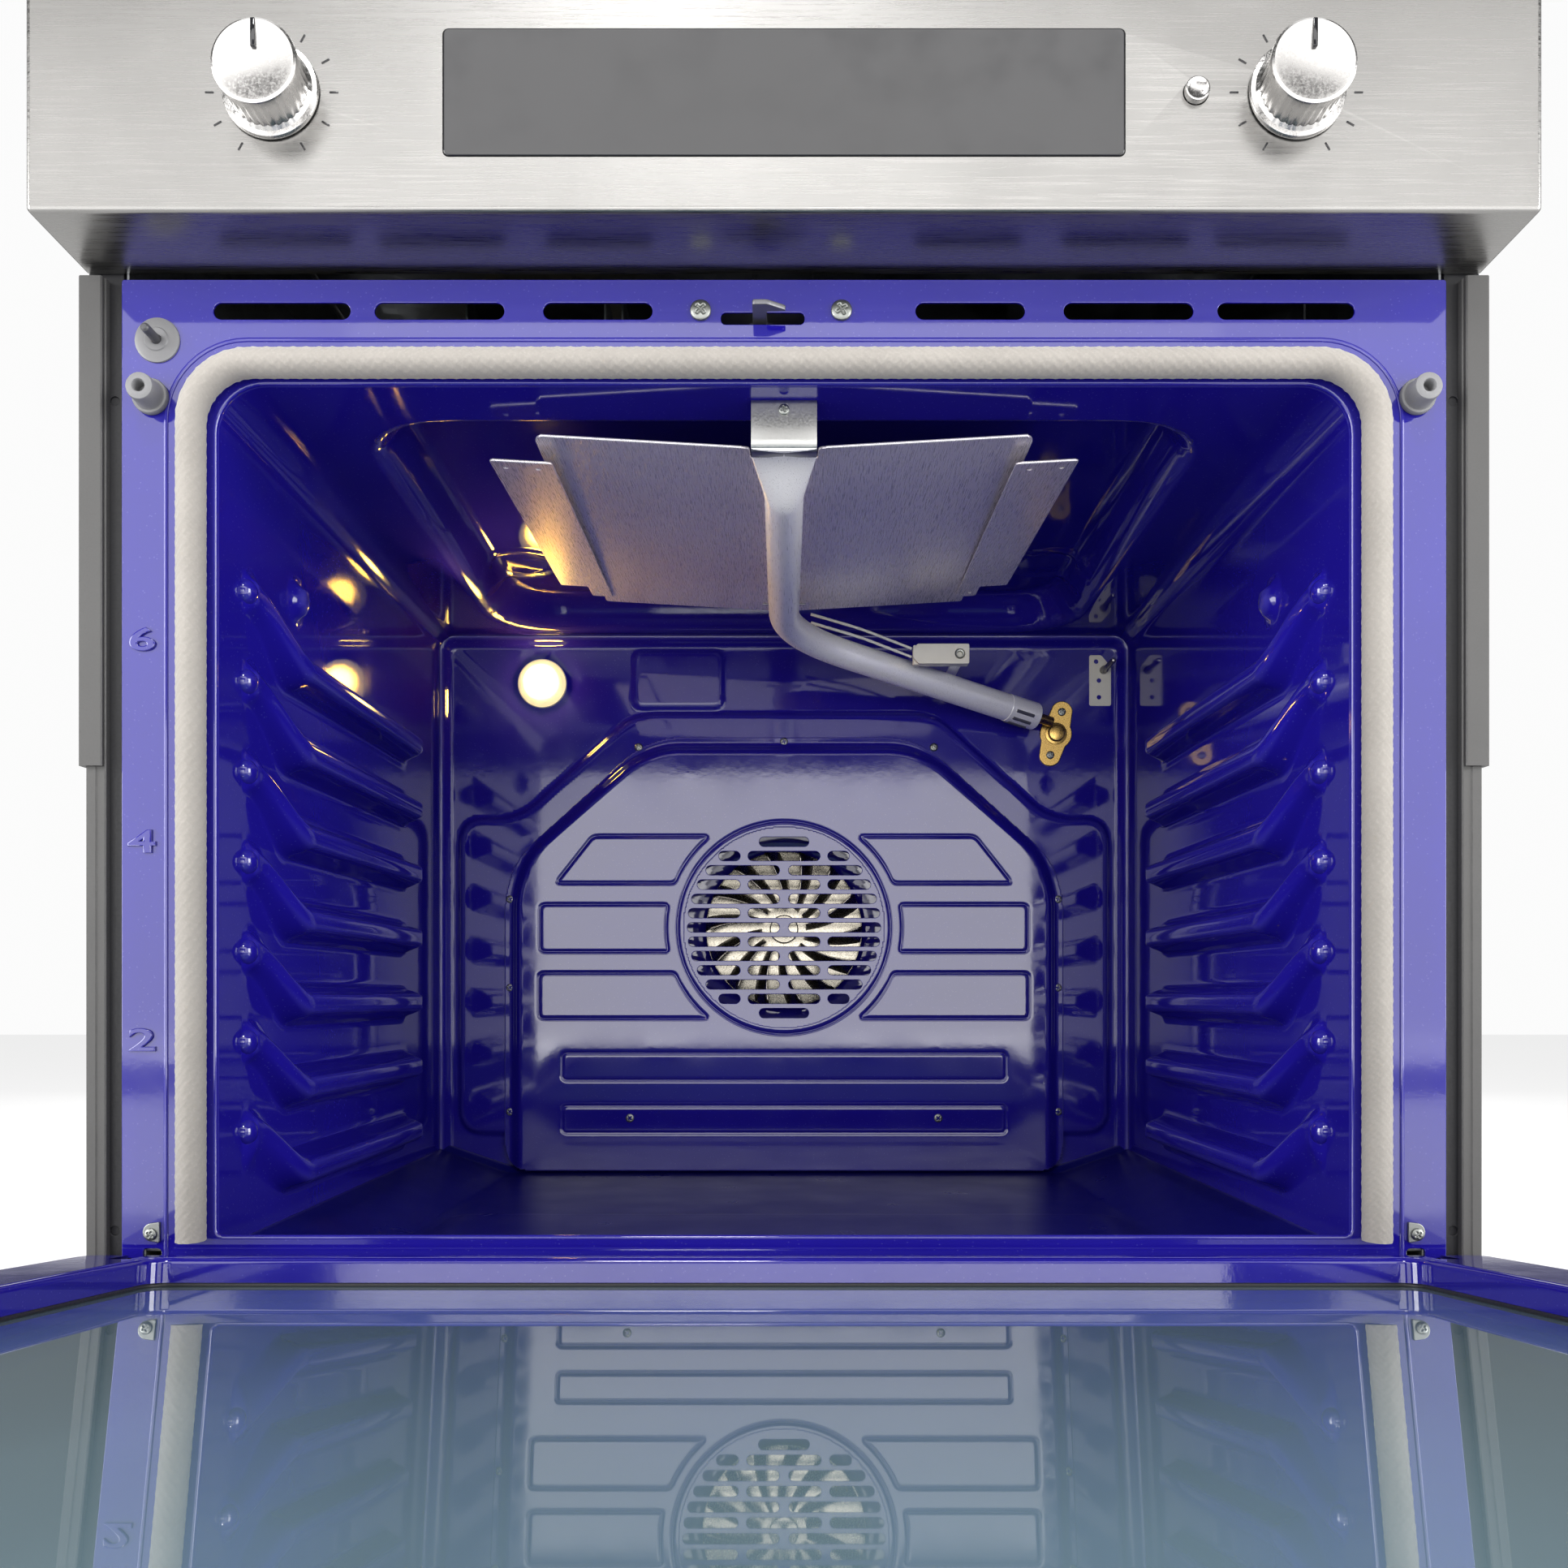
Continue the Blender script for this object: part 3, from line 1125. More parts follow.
def opening_outline():
    """Outline of the cavity's opening: wide upper corners and nearly square lower ones."""
    inner = CAVITY_HALF - LIP_RADIUS
    low = CAVITY_HALF - 5
    points = arc(inner, CEILING_Z - LIP_RADIUS, LIP_RADIUS, 0, 90, 12)
    points += arc(-inner, CEILING_Z - LIP_RADIUS, LIP_RADIUS, 90, 180, 12)
    points += arc(-low, LIP_Z + 5, 5, 180, 270, 5)
    return points + arc(low, LIP_Z + 5, 5, 270, 360, 5)


def front_frame():
    """Enamelled frame round the opening, with folded edges, pressed beads and raised rack numbers."""
    outline = rounded_rect((-FRAME_HALF, FRAME_BOTTOM), (FRAME_HALF, FRAME_TOP), 1.5, 3)
    opening = opening_outline()
    latch_slot = rounded_rect((-34, LATCH_Z - 3.2), (11, LATCH_Z + 3.2), 2.6)
    holes = [opening] + vent_loops() + [latch_slot]
    holes += [rounded_rect((side * HINGE_X - 5, 106), (side * HINGE_X + 5, 141), 2, 4) for side in (-1, 1)]
    face = plate("frame_face", [outline] + holes, 0, 1.5, 0.4)
    fold = block("fold", (FRAME_HALF - 1.4, 1, FRAME_BOTTOM), (FRAME_HALF, 21.8, FRAME_TOP), 0.3)
    finish(join("frame_sheet", [face, mirrored(fold)]), "blue_enamel", replaced=["front_frame"])
    lip = [(x, 1.6, z) for x, z in opening]
    finish(sweep("opening_lip", dense(lip, 8, True), 1.7, sides=16, closed=True), "blue_enamel")
    bead = [(x, 0.9, z) for x, z in opening_path(333.5, FLOOR_Z + 511.5, 44, FLOOR_Z + 14)]
    finish(sweep("frame_bead", bead, 1.6, sides=14), "blue_enamel")
    marks = (("2", 133), ("4", 240), ("6", 349))
    numerals = [lettering("numeral", text, -346, FLOOR_Z + z, 12, -0.5) for text, z in marks]
    finish(join("rack_numbers", numerals), "blue_enamel")


def dense(path, step, closed=False):
    """The same line with points no further apart than step."""
    points = [np.array(p, float) for p in path]
    if closed:
        points.append(points[0])
    result = []
    for a, b in zip(points, points[1:]):
        pieces = max(int(np.linalg.norm(b - a) / step), 1)
        result += [a + (b - a) * t / pieces for t in range(pieces)]
    if not closed:
        result.append(points[-1])
    return result


def door_gasket():
    """Knitted rope on three sides of the opening."""
    path = [(x, -10.2, z) for x, z in opening_path(315.6, FLOOR_Z + 494.2, 32, FLOOR_Z + 27)]

    def knit(length, turn):
        return 0.14 * np.cos(10 * turn + length * 0.9) + 0.14 * np.cos(10 * turn - length * 0.9) - 0.2

    rope = sweep("gasket_rope", dense(path, 1.5), 7.5, sides=40, squash=1.25, ripple=knit)
    finish(rope, "gasket_fibre", replaced=["door_gasket"])


def latch():
    """Locking hook with its barb, and the two screws of the latch."""
    x = -13
    y = 30
    arm = [(-3.8, 10), (-3.8, -17.6), (4, -17.8), (13.8, -11.6), (13.8, -10.2), (3.8, -9.8), (3.8, 20)]
    arm = [(x + right, depth) for right, depth in arm]
    outline = arc(x, y, 7.8, -60, 240, 20) + softened(arm, 1.6, closed=False)
    hook = plate("hook", [outline], LATCH_Z - 1.4, 2.8, 0.5, flat=True)
    pin = lathe("pin", shifted(LATCH_Z, [(0, -1.5), (2.9, -1.5), (3, -1.2), (3, 16.5)]), (x, y, 0), "z")
    finish(join("latch_hook_arm", [hook, pin]), "dark_metal", "latch", ["latch_hook"])
    heads = [screw("s", at, -0.1, VENT_Z, 5.6, 2.8, at) for at in (-45, 31)]
    heads += [screw("s", side * HINGE_X, -1.7, FLOOR_Z + 29, 3.3, 1.6, side * 33) for side in (-1, 1)]
    finish(join("frame_screw_heads", heads), "zinc_plate", replaced=["frame_screws"])


def door_switch():
    """Round switch collar in the frame and the plunger that the shut door pushes in."""
    at = (SWITCH_AT[0], 0, SWITCH_AT[1])
    collar = [(0, 28), (2.7, 28), (2.7, -1.9), (4, -2.4), (6, -2.4), (6.6, -1.8), (10.8, -1.6)]
    collar += [(12, -1), (12.2, -0.1), (6.8, 0), (6.8, 29)]
    finish(lathe("switch_collar", collar, at), "switch_plastic", replaced=["door_switch"])
    tip = [(0, -16), (1.4, -15.8), (2.3, -14.9), (2.45, -13.6), (2.45, 13.8), (0, 13.9)]
    finish(lathe("plunger_pin", tip, at, sides=28), "plunger_plastic", "plunger", ["switch_plunger"])


def door_bumpers():
    """Grey rubber stops with a hollow tip."""
    profile = [(3, -8), (3, -15), (3.6, -15.9), (5.6, -15.9), (7, -15.2), (7.4, -13.6), (7.5, -5), (8.2, -4),
               (9.2, -3.8), (9.6, -3), (9.6, -0.8), (9.2, -0.2), (3.7, -0.1), (3.7, 7.8)]
    stop = lathe("bumper", profile, (BUMPER_AT[0], 0, BUMPER_AT[1]))
    finish(mirrored(stop), "grey_rubber", replaced=["door_bumpers"])


def hinge_receivers():
    """Zinc tab at the front of each receiver and the folded channel that takes the hinge arm."""
    z = FLOOR_Z + 30
    tab = arc(HINGE_X - 0.5, z, 5, -90, 90, 12) + [(HINGE_X - 4.6, z + 5.6), (HINGE_X - 4.6, z - 5.6)]
    parts = [plate("tab", [softened(tab, 0.8, steps=2)], -1.6, 3, 0.4)]
    for side in (-1, 1):
        x = HINGE_X + side * 5.2
        parts.append(block("cheek", (x - 1.1, 1.7, 102.2), (x + 1.1, 63.8, 159.8), 0.3))
    parts.append(block("roof", (HINGE_X - 4.4, 1.7, 139.4), (HINGE_X + 4.4, 63.8, 142), 0.3))
    parts.append(block("end", (HINGE_X - 4.4, 60.4, 102.4), (HINGE_X + 4.4, 63.6, 139.2), 0.3))
    finish(mirrored(join("hinge_channel_ends", parts)), "zinc_plate", replaced=["hinge_receivers"])


def upright_strip(name, profile, low, high):
    """A closed section in X and Y drawn out between two heights."""
    return loft(name, [[(x, y, z) for x, y in profile] for z in (low, high)], True, True)


def side_trims():
    """Grey trim strips beside the frame, their brighter caps and the dark flanges behind them."""
    outer = [(365.4, 3.3), (365.4, -0.6), (366.1, -1.3), (370.2, -1.3), (370.8, -1.9), (375.2, -1.9)]
    outer += [(375.9, -1.2), (375.9, 3.3)]
    trim = upright_strip("trim_strips", outer, FRAME_BOTTOM + 4, FRAME_TOP)
    finish(mirrored(trim), "trim_grey", replaced=["side_trims"])
    cap = [(366.1, -2.2), (366.1, -3.7), (366.8, -4.4), (377.8, -4.4), (378.8, -3.4), (378.8, 3.3)]
    cap += [(376.3, 3.3), (376.3, -2.2)]
    caps = upright_strip("trim_cap_strips", cap, FLOOR_Z + 281, FRAME_TOP)
    finish(mirrored(caps), "trim_grey", replaced=["trim_caps"])
    web = block("web", (357.9, 3.6, 20), (359.1, 45, 760), 0.3)
    holes = [circle(363, z, 2.5, 24) for z in FLANGE_HOLES]
    face = plate("face", [rounded_rect((357.9, 20), (376.9, 760), 1, 3)] + holes, 3.5, 1.4, 0.3)
    bottom = [(0, 5.2), (2.9, 5.2), (2.9, 4.6), (0, 4.6)]
    cups = [lathe("cup", bottom, (363, 0, z), sides=20) for z in FLANGE_HOLES]
    finish(mirrored(join("flange_angles", [web, face] + cups)), "flange_black", replaced=["mounting_flanges"])


# ---------------------------------------------------------------- door, drawn shut and then opened
LINER_HALF = FACE_HALF - 9
LINER_LOW = PIVOT_Z - 7
LINER_CORNER = 8


def border_loop(grow, y):
    """The edge of the liner's recess at depth y, moved outwards by grow."""
    low = (-329 - grow, PIVOT_Z + 5.6 - grow)
    high = (329 + grow, FLOOR_Z + 510 + grow)
    return [(x, y, z) for x, z in rounded_rect(low, high, 12 + grow)]


def liner_outline():
    """Outline of the flat part of the liner's border."""
    return rounded_rect((-LINER_HALF, LINER_LOW), (LINER_HALF, DOOR_TOP - 6), LINER_CORNER)


def door_edge_loops():
    """Loops over the liner's outer edge: its rounding is wider along the hinge side."""
    loops = []
    for turn in np.radians(np.linspace(0, 90, 8)):
        loop = []
        for x, z in liner_outline():
            radius = 6 + 9 * (1 - ease((z - LINER_LOW) / 8))
            near_x = max(abs(x) - LINER_HALF + LINER_CORNER, 0)
            near_z = max(z - DOOR_TOP + 6 + LINER_CORNER, 0) - max(LINER_LOW + LINER_CORNER - z, 0)
            length = max(math.hypot(near_x, near_z), 1e-5)
            shift_x = math.copysign(6 * math.sin(turn) * near_x / length, x)
            shift_z = radius * math.sin(turn) * near_z / length
            loop.append((x + shift_x, BORDER_Y - radius * (1 - math.cos(turn)), z + shift_z))
        loops.append(loop)
    back = [(x, -34 - 15.8 * (1 - ease((z - DOOR_BOTTOM) / 8)), z) for x, y, z in loops[-1]]
    return loops + [back]


def door_liner():
    """Enamelled inner face of the door: border, recess for the glass, pockets and slots."""
    recess_edge = [(x, z) for x, y, z in border_loop(2, 0)]
    hook_slot = rounded_rect((-40, LATCH_Z - 7), (17, LATCH_Z + 7), 3, 5)
    pockets = [(side * BUMPER_AT[0], BUMPER_AT[1], POCKET_RADIUS, 32) for side in (-1, 1)]
    pockets.append((*SWITCH_AT, 5.4, 28))
    holes = [recess_edge, hook_slot] + [circle(*pocket) for pocket in pockets]
    parts = [plate("border", [liner_outline()] + holes, BORDER_Y, 1.2, 0.05)]
    steps = [(2 - 2 * math.sin(t), BORDER_Y - 2 + 2 * math.cos(t)) for t in np.radians(np.linspace(0, 90, 7))]
    steps += [(0, -11.2), (0, -26.6), (0, -26.8), (-1.5, -27.6), (-12, -27.6)]
    parts.append(thickened(loft("recess", [border_loop(grow, y) for grow, y in steps]), 1))
    parts.append(thickened(loft("edge", door_edge_loops()), 1))
    for x, z, radius, sides in pockets:
        cup = [(radius + 0.8, BORDER_Y - 0.6), (radius, BORDER_Y - 1.2), (radius, -25.5), (radius - 1.5, -27)]
        parts.append(lathe("cup", cup + [(0, -27)], (x, 0, z), sides=32, hollow=True))
    liner = join("door_liner_sheet", parts)
    cut_hinge_slots(liner)
    smooth_shading(liner.data, 40)
    finish(opened(liner), "blue_enamel", "door", ["door_liner"])


def cut_hinge_slots(obj):
    """Opens the liner where the hinge arms pass through it."""
    near = HINGE_X - 5.5
    far = HINGE_X + 5.5
    top = PIVOT_Z + 15
    cuts = [((side * x, 0, 0), (1, 0, 0)) for side in (-1, 1) for x in (near, far)]
    cuts.append(((0, 0, top), (0, 0, 1)))
    with edited(obj) as work:
        for place, normal in cuts:
            geometry = work.verts[:] + work.edges[:] + work.faces[:]
            bmesh.ops.bisect_plane(work, geom=geometry, plane_co=Vector(place) * MM, plane_no=normal)
        middles = [(face, face.calc_center_median() / MM) for face in work.faces]
        gone = [face for face, middle in middles if near < abs(middle.x) < far and middle.z < top]
        bmesh.ops.delete(work, geom=gone, context="FACES")


def door_glass():
    """The inner pane with its seal and the two pads under it, and the outer window pane."""
    outline = [(x, z) for x, y, z in border_loop(-0.5, 0)]
    pane = plate("inner_pane", [outline], GLASS_Y - 3.9, 3.8, 0.6)
    finish(opened(pane), "door_glass", "door", ["inner_glass"], "inner_pane")
    seal = sweep("glass_seal", dense(border_loop(-1.3, GLASS_Y + 0.5), 20, True), 1.3, sides=12, closed=True)
    finish(opened(seal), "grey_rubber", "door", look="flange_black")
    pads = mirrored(block("glass_spacers", (207, GLASS_Y - 6, 171), (261, GLASS_Y - 4.1, 224), 0.6))
    finish(opened(pads), "pad_grey", "door", ["glass_pads"])
    window = plate("window_pane", [rounded_rect((-245, 212), (245, 538), 6)], FACE_Y + 1.4, 2.6, 0.5)
    finish(opened(window), "window_glass", "door", ["outer_glass"])


def pan_loops(half, low, high, front, depths):
    """Loops of a folded sheet: over its front edge and back to depths = (sides, top, bottom)."""
    edge = 2.5
    radius = 3
    loops = []
    for turn in np.radians(np.linspace(0, 90, 6)):
        inset = edge * (1 - math.sin(turn))
        corner = max(radius - inset, 0.6)
        points = rounded_rect((-half + inset, low + inset), (half - inset, high - inset), corner, 6)
        y = front + edge * (1 - math.cos(turn))
        loops.append([(x, y, z) for x, z in points])
    back = []
    for x, y, z in loops[-1]:
        depth = depths[0]
        between = abs(x) < half - radius * 0.3
        if between and z > high - radius:
            depth = depths[1]
        if between and z < low + radius:
            depth = depths[2]
        back.append((x, depth, z))
    return loops + [back]


def pan(name, half, low, high, front, holes, depths):
    """A folded sheet with rounded front edges; its front has holes."""
    loops = pan_loops(half, low, high, front, depths)
    outline = [(x, z) for x, y, z in loops[0]]
    face = plate(name + "_face", [outline] + holes, front, 1.1, 0.05)
    skirt = thickened(loft(name + "_skirt", loops), -1)
    obj = join(name, [face, skirt])
    smooth_shading(obj.data, 40)
    return obj


def door_skin():
    """Brushed outer skin with the window cut-out, and the round bar handle on its posts."""
    window = rounded_rect((-232, 225), (232, 525), 8)
    skin = pan("door_outer_skin", FACE_HALF, DOOR_BOTTOM, DOOR_TOP, FACE_Y, [window], (-16, -35, -51))
    finish(opened(skin), "stainless_steel", "door", ["door_skin"])
    rim = [(x, FACE_Y + 0.9, z) for x, z in rounded_rect((-232.6, 224.4), (232.6, 525.6), 8.6)]
    border = sweep("window_rim", dense(rim, 20, True), 0.8, sides=12, closed=True)
    finish(opened(border), "dark_metal", "door")
    y = FACE_Y - 45
    z = FLOOR_Z + 500
    end = [(10.6, 325.5), (10, 328), (8, 329.6), (0, 330)]
    bar = lathe("bar", [(radius, -x) for radius, x in reversed(end)] + end, (0, y, z), "x")
    collar = [(10.7, -7), (10.95, -6.4), (10.95, 6.4), (10.7, 7)]
    post = [(8, -42), (8, -8), (8.6, -5), (10.4, -3), (12, -2.2), (12, 0)]
    parts = [bar]
    for side in (-1, 1):
        parts.append(lathe("ring", collar, (side * HANDLE_POST_X, y, z), "x"))
        parts.append(lathe("post", post, (side * HANDLE_POST_X, FACE_Y, z)))
    finish(opened(join("handle_bar", parts)), "stainless_steel", "door", ["door_handle"])


# ---------------------------------------------------------------- controls and lower grille
def control_fascia():
    """Brushed panel over the door with its display pane and the tick marks round the knobs."""
    low = FRAME_TOP + 4
    holes = [rounded_rect((-170, 695), (170, 759), 3, 5), circle(BUTTON_X, KNOB_Z, 6.5, 32)]
    holes += [circle(side * KNOB_X, KNOB_Z, 5, 24) for side in (-1, 1)]
    panel = pan("fascia_panel", FACE_HALF, low, skin_high[2], FACE_Y, holes, (1.8, 1.8, 1.8))
    finish(panel, "stainless_steel", replaced=["control_fascia"])
    pane = rounded_rect((-169.7, 695.3), (169.7, 758.7), 3, 6)
    glass = plate("display_pane", [pane], FACE_Y - 0.9, 3.6, 0.8)
    finish(glass, "display_black", replaced=["display_glass"])
    marks = []
    for side in (-1, 1):
        for degrees in range(240, -61, -30):
            mark = block("mark", (-0.5, -0.25, -2.2), (0.5, 0.1, 2.2), 0.2)
            moved(mark, turn=90 - degrees)
            angle = math.radians(degrees)
            at = (side * KNOB_X + 31 * math.cos(angle), FACE_Y, KNOB_Z + 31 * math.sin(angle))
            marks.append(moved(mark, offset=at))
    finish(join("dial_marks", marks), "display_black")


def flute(cap, x):
    """Presses 32 shallow flutes into the grip of a knob."""
    for vertex in cap.data.vertices:
        offset_x = vertex.co.x / MM - x
        offset_z = vertex.co.z / MM - KNOB_Z
        if 20.2 < math.hypot(offset_x, offset_z) < 20.5:
            scale = 1 - 0.022 * (1 + math.cos(32 * math.atan2(offset_z, offset_x)))
            vertex.co.x = (x + offset_x * scale) * MM
            vertex.co.z = (KNOB_Z + offset_z * scale) * MM
    return cap


def knobs():
    """Turned knobs with a fluted grip, a dished cap and a pointer, and the light button."""
    front = FACE_Y - 24
    profile = [(0, 1.4), (12, 0.9), (17.5, 0.3), (19.4, 0.2), (20.6, 1), (20.9, 2.2), (20.4, 8), (20.4, 19)]
    profile += [(21.5, 20.4), (23.6, 20.9), (24, 21.6), (24, 23), (8, 23), (3, 23.2)]
    profile = shifted(front, profile) + [(3, -36)]
    for x, kind in ((-KNOB_X, "mode"), (KNOB_X, "temperature")):
        name = kind + "_knob_cap"
        body = kind + "_dial"
        cap = flute(lathe(name, profile, (x, 0, KNOB_Z), sides=96), x)
        finish(cap, "knob_metal", body, [kind + "_knob"])
        low = (x - 1.1, front - 0.6, KNOB_Z + 6)
        high = (x + 1.1, front + 1.5, KNOB_Z + 19.6)
        finish(block(name + "_pointer", low, high), "display_black", body)
    button = shifted(FACE_Y, [(0, -3), (4, -3.2), (5.4, -3.9), (6, -3.6), (6.1, -2.8)]) + [(6.1, -47.2)]
    key = lathe("light_button_cap", button, (BUTTON_X, 0, KNOB_Z), sides=40)
    finish(key, "knob_metal", "light_key", ["light_button"])


def bottom_grille():
    """Folded kick panel under the door with three groups of air slots."""
    holes = []
    for x in (-220, 0, 220):
        holes += [slot(x - 95, x + 95, 22.5 + 11 * i, 5, 5) for i in range(5)]
    kick = pan("lower_grille", FACE_HALF - 2, 3, 82, FACE_Y, holes, (-2.2, -2.2, FACE_Y + 12))
    finish(kick, "stainless_steel", replaced=["bottom_grille"])


# ---------------------------------------------------------------- chassis
def panel_screws():
    """Screws along the edges of the side, back and top panels, each turned a little differently."""
    def head(x, y, z, turn, axis):
        return screw("s", x, y, z, 4.2, 2.2, turn, axis)

    sides = []
    for z in (40, 200, 380, 560, 740):
        sides += [head(CHASSIS_HALF, 30, z, z, "x"), head(CHASSIS_HALF, 572, z, z + 9, "x")]
    heads = [mirrored(join("side_heads", sides))]
    for x in (-335, -170, 0, 170, 335):
        heads += [head(x, CHASSIS_BACK, 25, x, "back"), head(x, CHASSIS_BACK, 745, x + 5, "back")]
        heads += [head(x, 30, CHASSIS_TOP, x, "z"), head(x, 570, CHASSIS_TOP, x + 7, "z")]
    finish(join("panel_screws", heads), "zinc_plate")


def pressed_bead(low, high, corner, radius, place):
    """A raised bead round a rectangle; place(a, b) puts a point of it on its panel."""
    loop = [place(a, b) for a, b in rounded_rect(low, high, corner)]
    return sweep("bead", dense(loop, 30, True), radius, sides=12, closed=True)


def panel_beads():
    """Stiffening beads on the side, back and top panels."""
    def on_side(y, z):
        return CHASSIS_HALF, y, z

    def on_back(x, z):
        return x, CHASSIS_BACK, z

    def on_top(x, y):
        return x, y, CHASSIS_TOP

    areas = (((70, 90), (380, 340)), ((70, 400), (380, 700)), ((430, 90), (545, 540)))
    sides = [pressed_bead(low, high, 26, 2.4, on_side) for low, high in areas]
    beads = [mirrored(join("side_beads", sides))]
    areas = (((-320, 90), (-120, 520)), ((-80, 90), (240, 520)), ((-320, 690), (320, 725)))
    beads += [pressed_bead(low, high, 14, 2.2, on_back) for low, high in areas]
    beads += [pressed_bead((low, 70), (low + 300, 360), 26, 2.4, on_top) for low in (-320, 20)]
    finish(join("panel_beads", beads), "galvanised_steel")


def side_louvres():
    """Six hoods near the top of each side, towards the back."""
    hoods = [louvre_hood((CHASSIS_HALF, 430, 607 + 18 * i), 130) for i in range(6)]
    finish(mirrored(join("side_louvres", hoods)), "galvanised_steel")


def louvre_hood(at, length):
    """Half dome pressed out over a slot in a side panel; it opens downwards."""
    rise = 5
    reach = 9
    x, y, z = at
    rows = []
    for share in np.linspace(0, 1, 25):
        end = np.clip(1 - abs(2 * share - 1) ** 8, 0, 1) ** 0.5
        row = []
        for turn in np.radians(np.linspace(0, 90, 8)):
            height = z - reach + reach * 1.25 * end * math.sin(turn)
            row.append((x + rise * end * math.cos(turn), y + length * share, height))
        rows.append(row)
    return thickened(surface("hood", np.array(rows), angle=60), 0.7)


# ---------------------------------------------------------------- stage, light and camera
WHITE = (1, 1, 1)


def emit_light(name, colour, energy, size, at, aim):
    """A rectangular area light, unseen by the camera; sizes and places in metres."""
    data = bpy.data.lights.new(name, "AREA")
    data.shape = "RECTANGLE"
    data.size, data.size_y = size
    data.energy = energy
    data.color = colour
    obj = link(name, data)
    obj.location = Vector(at)
    obj.rotation_euler = (Vector(aim) - Vector(at)).to_track_quat("-Z", "Y").to_euler()
    obj.visible_camera = False
    return obj


def softbox(name, radiance, low, high, y):
    """An upright lit panel in front of the oven or behind it, facing the oven; sizes in metres."""
    width = high[0] - low[0]
    height = high[1] - low[1]
    at = ((low[0] + high[0]) / 2, y, (low[1] + high[1]) / 2)
    power = radiance * math.pi * width * height
    emit_light(name, (1.0, 0.99, 0.98), power, (width, height), at, (at[0], 0, at[2]))


def floor_glow(name, radiance, size, y):
    """A lit patch just above the floor, shining up; sizes in metres."""
    emit_light(name, WHITE, radiance * math.pi * size[0] * size[1], size, (0, y, 0.01), (0, y, 1))


def studio_floor():
    """Plain pale floor."""
    floor = bpy.data.meshes.new("studio_floor")
    floor.from_pydata([(-9, -9, 0), (9, -9, 0), (9, 9, 0), (-9, 9, 0)], [], [(0, 1, 2, 3)])
    floor_obj = link("studio_floor", floor)
    pale = Finish("floor_paint", (0.3, 0.3, 0.3), 0.7)
    pale.tint(pale.ranged(pale.noise(0.6), 0.3, 0.7, 0.0, 1.0), (0.28, 0.28, 0.28))
    pale.set("Emission Color", (1, 1, 1, 1))
    pale.set("Emission Strength", 0.8)
    floor.materials.append(pale.material)


def studio_world():
    """Bright background for the camera and a dim one for the object's own light."""
    world = bpy.data.worlds.new("studio")
    world.use_nodes = True
    tree = world.node_tree
    background = tree.nodes["Background"]
    background.inputs[0].default_value = (1.0, 1.0, 1.0, 1)
    seen = tree.nodes.new("ShaderNodeLightPath").outputs["Is Camera Ray"]
    level = tree.nodes.new("ShaderNodeMapRange")
    level.inputs["To Min"].default_value = 0.12
    level.inputs["To Max"].default_value = 0.97
    tree.links.new(seen, level.inputs["Value"])
    tree.links.new(level.outputs[0], background.inputs[1])
    bpy.context.scene.world = world


def oven_lamp_glow():
    """Warm light of the lit oven lamp, and its spill over the deflector without a mirror image."""
    lamp = bpy.data.lights.new("oven_lamp_glow", "AREA")
    lamp.shape = "DISK"
    lamp.size = 0.026
    lamp.energy = 0.5
    lamp.color = (1.0, 0.64, 0.12)
    glow = link("oven_lamp_glow", lamp)
    glow.location = Vector((LAMP_AT[0], BACK_Y - 13, LAMP_AT[1])) * MM
    glow.rotation_euler = (math.radians(90), 0, 0)
    glow.visible_camera = False
    at = (-0.25, 0.3, 0.548)
    spill = emit_light("lamp_spill", (1.0, 0.6, 0.14), 0.34, (0.05, 0.05), at, (-0.05, 0.24, 0.6))
    spill.visible_glossy = False


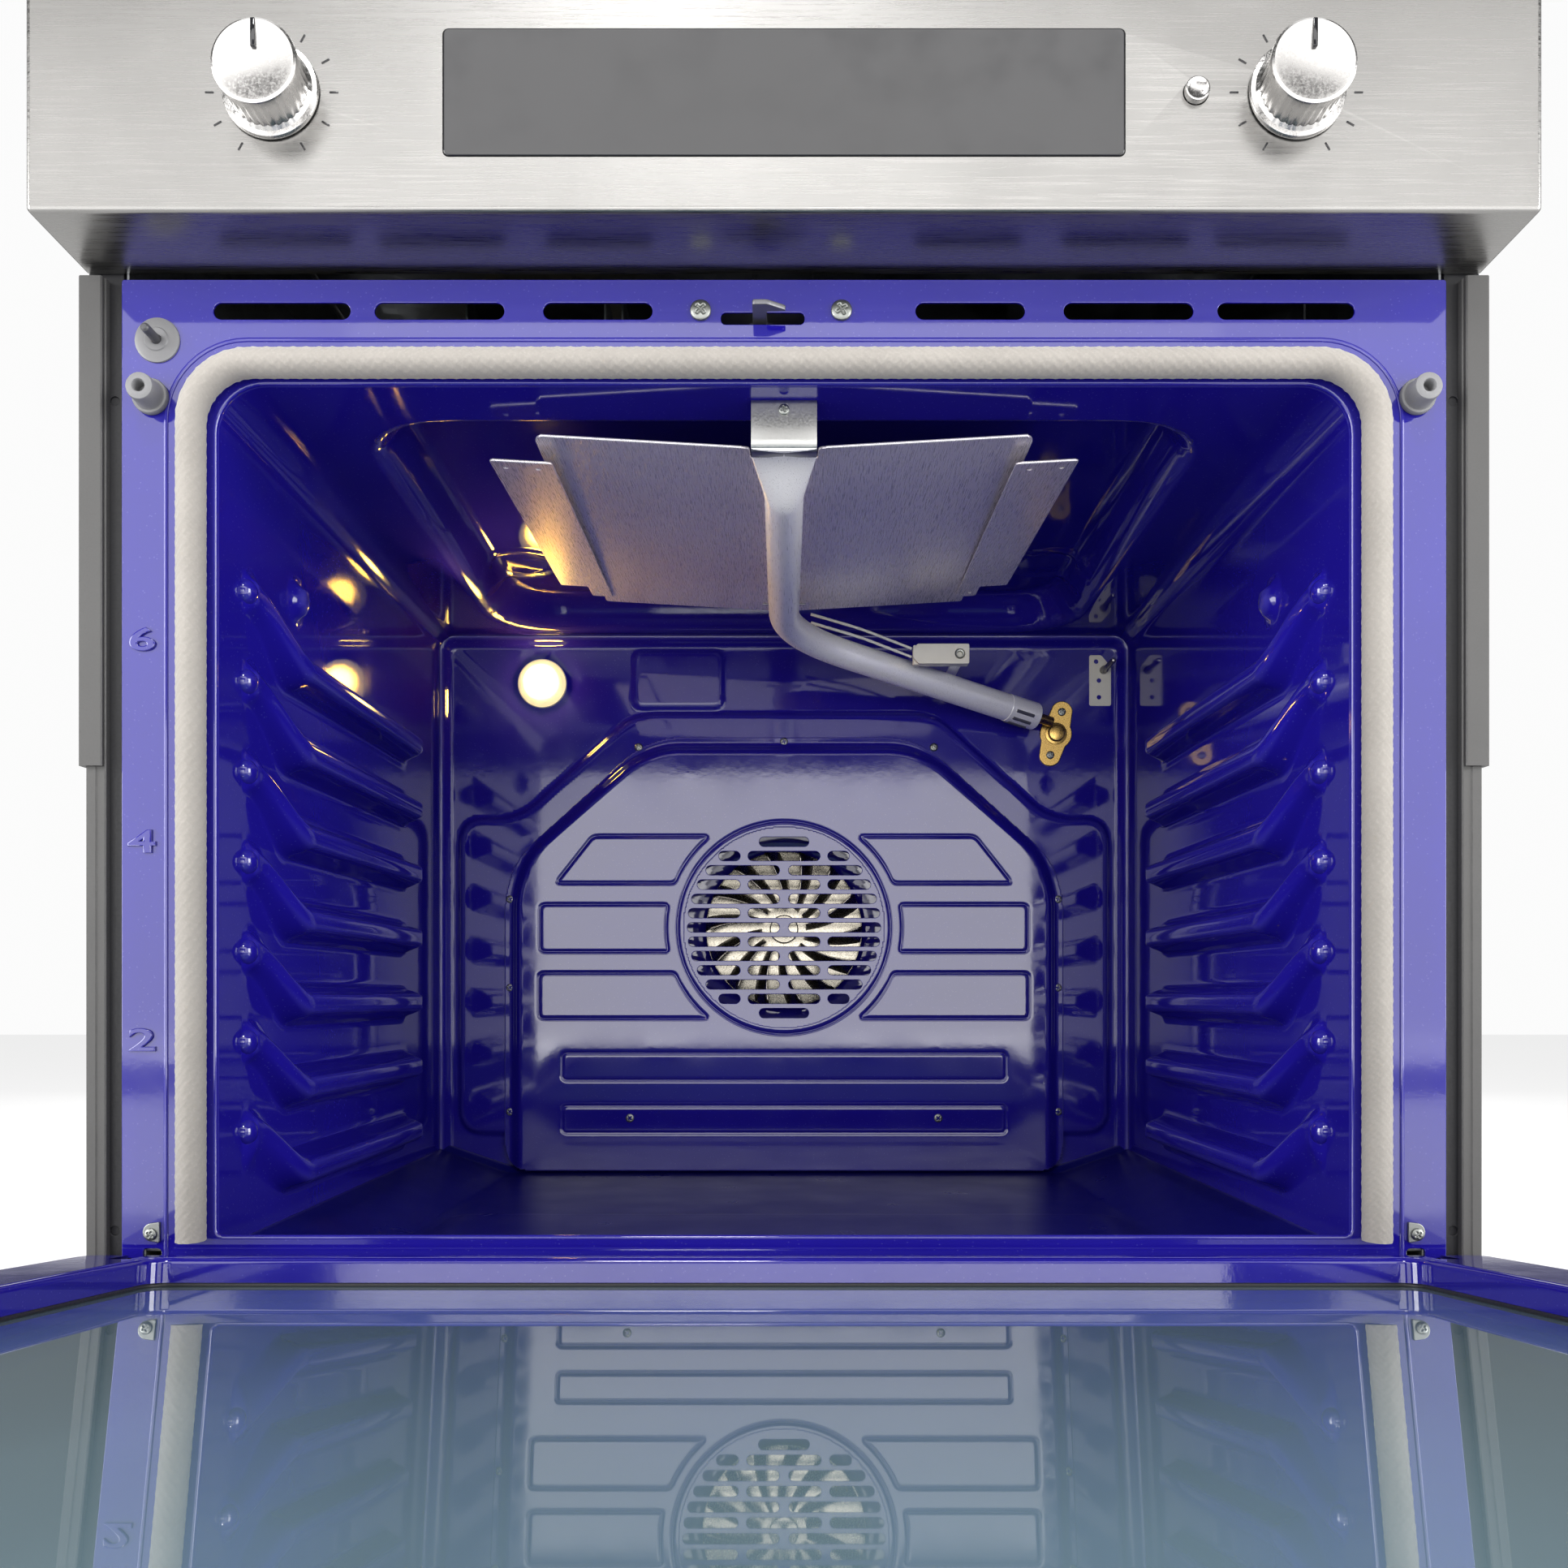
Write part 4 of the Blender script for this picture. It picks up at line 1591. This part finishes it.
def studio():
    """Soft panels in front, behind, beside and over the oven."""
    front = -2.8
    softbox("front_far", 4.4, (-1.75, 0.0), (1.75, 1.56), -6)
    softbox("front_high", 3.4, (-1.15, 1.8), (1.15, 2.9), front)
    softbox("front_left", 2.8, (-2.7, 0.1), (-1.15, 2.9), front)
    softbox("front_right", 2.8, (1.15, 0.1), (2.7, 2.9), front)
    for side, name in ((-1, "cross_left"), (1, "cross_right")):
        emit_light(name, WHITE, 66, (1.2, 1.6), (side * 2.4, -1.1, 0.9), (0, 0.1, 0.4))
    softbox("back_panel_light", 1.6, (-1.8, 0.3), (1.8, 2.6), 3.2)
    floor_glow("low_front", 1.5, (5.4, 2.0), -1.9)
    floor_glow("far_floor", 4, (3.1, 2.2), -4.9)
    emit_light("key", WHITE, 32, (0.5, 0.5), (-0.3, -2.3, 3.3), (0, 0, 0.4))
    for side, name in ((-1, "left_fill"), (1, "right_fill")):
        emit_light(name, WHITE, 13, (2.2, 2.0), (side * 3.2, 0.9, 1.5), (0, 0.4, 0.4))
    emit_light("top_fill", WHITE, 17, (2.6, 1.6), (0, 0.6, 3.0), (0, 0.3, 0.5))


def camera():
    """Wide lens just in front of the open door, level, at the photo's height."""
    data = bpy.data.cameras.new("camera")
    data.lens = 30.63
    data.sensor_width = 36
    data.shift_y = 0.1356
    data.clip_start = 0.02
    eye = link("camera", data)
    eye.location = (0, -0.72, 0.277)
    eye.rotation_euler = (math.radians(90), 0, 0)
    bpy.context.scene.camera = eye
    bpy.context.scene.view_settings.view_transform = "Standard"


dress_cad_nodes()
cavity_wrap()
guide_noses()
floor_tray()
back_wall()
fan_cover_sheet()
grille()
convection_fan()
cover_screws()
broil_burner()
burner_bracket()
broil_deflector()
broil_igniter()
igniter_leads()
broil_orifice()
oven_lamp()
temperature_sensor()
front_frame()
door_gasket()
latch()
door_switch()
door_bumpers()
hinge_receivers()
side_trims()
door_liner()
door_glass()
door_skin()
control_fascia()
knobs()
bottom_grille()
panel_screws()
panel_beads()
side_louvres()
studio_floor()
studio_world()
studio()
oven_lamp_glow()
camera()
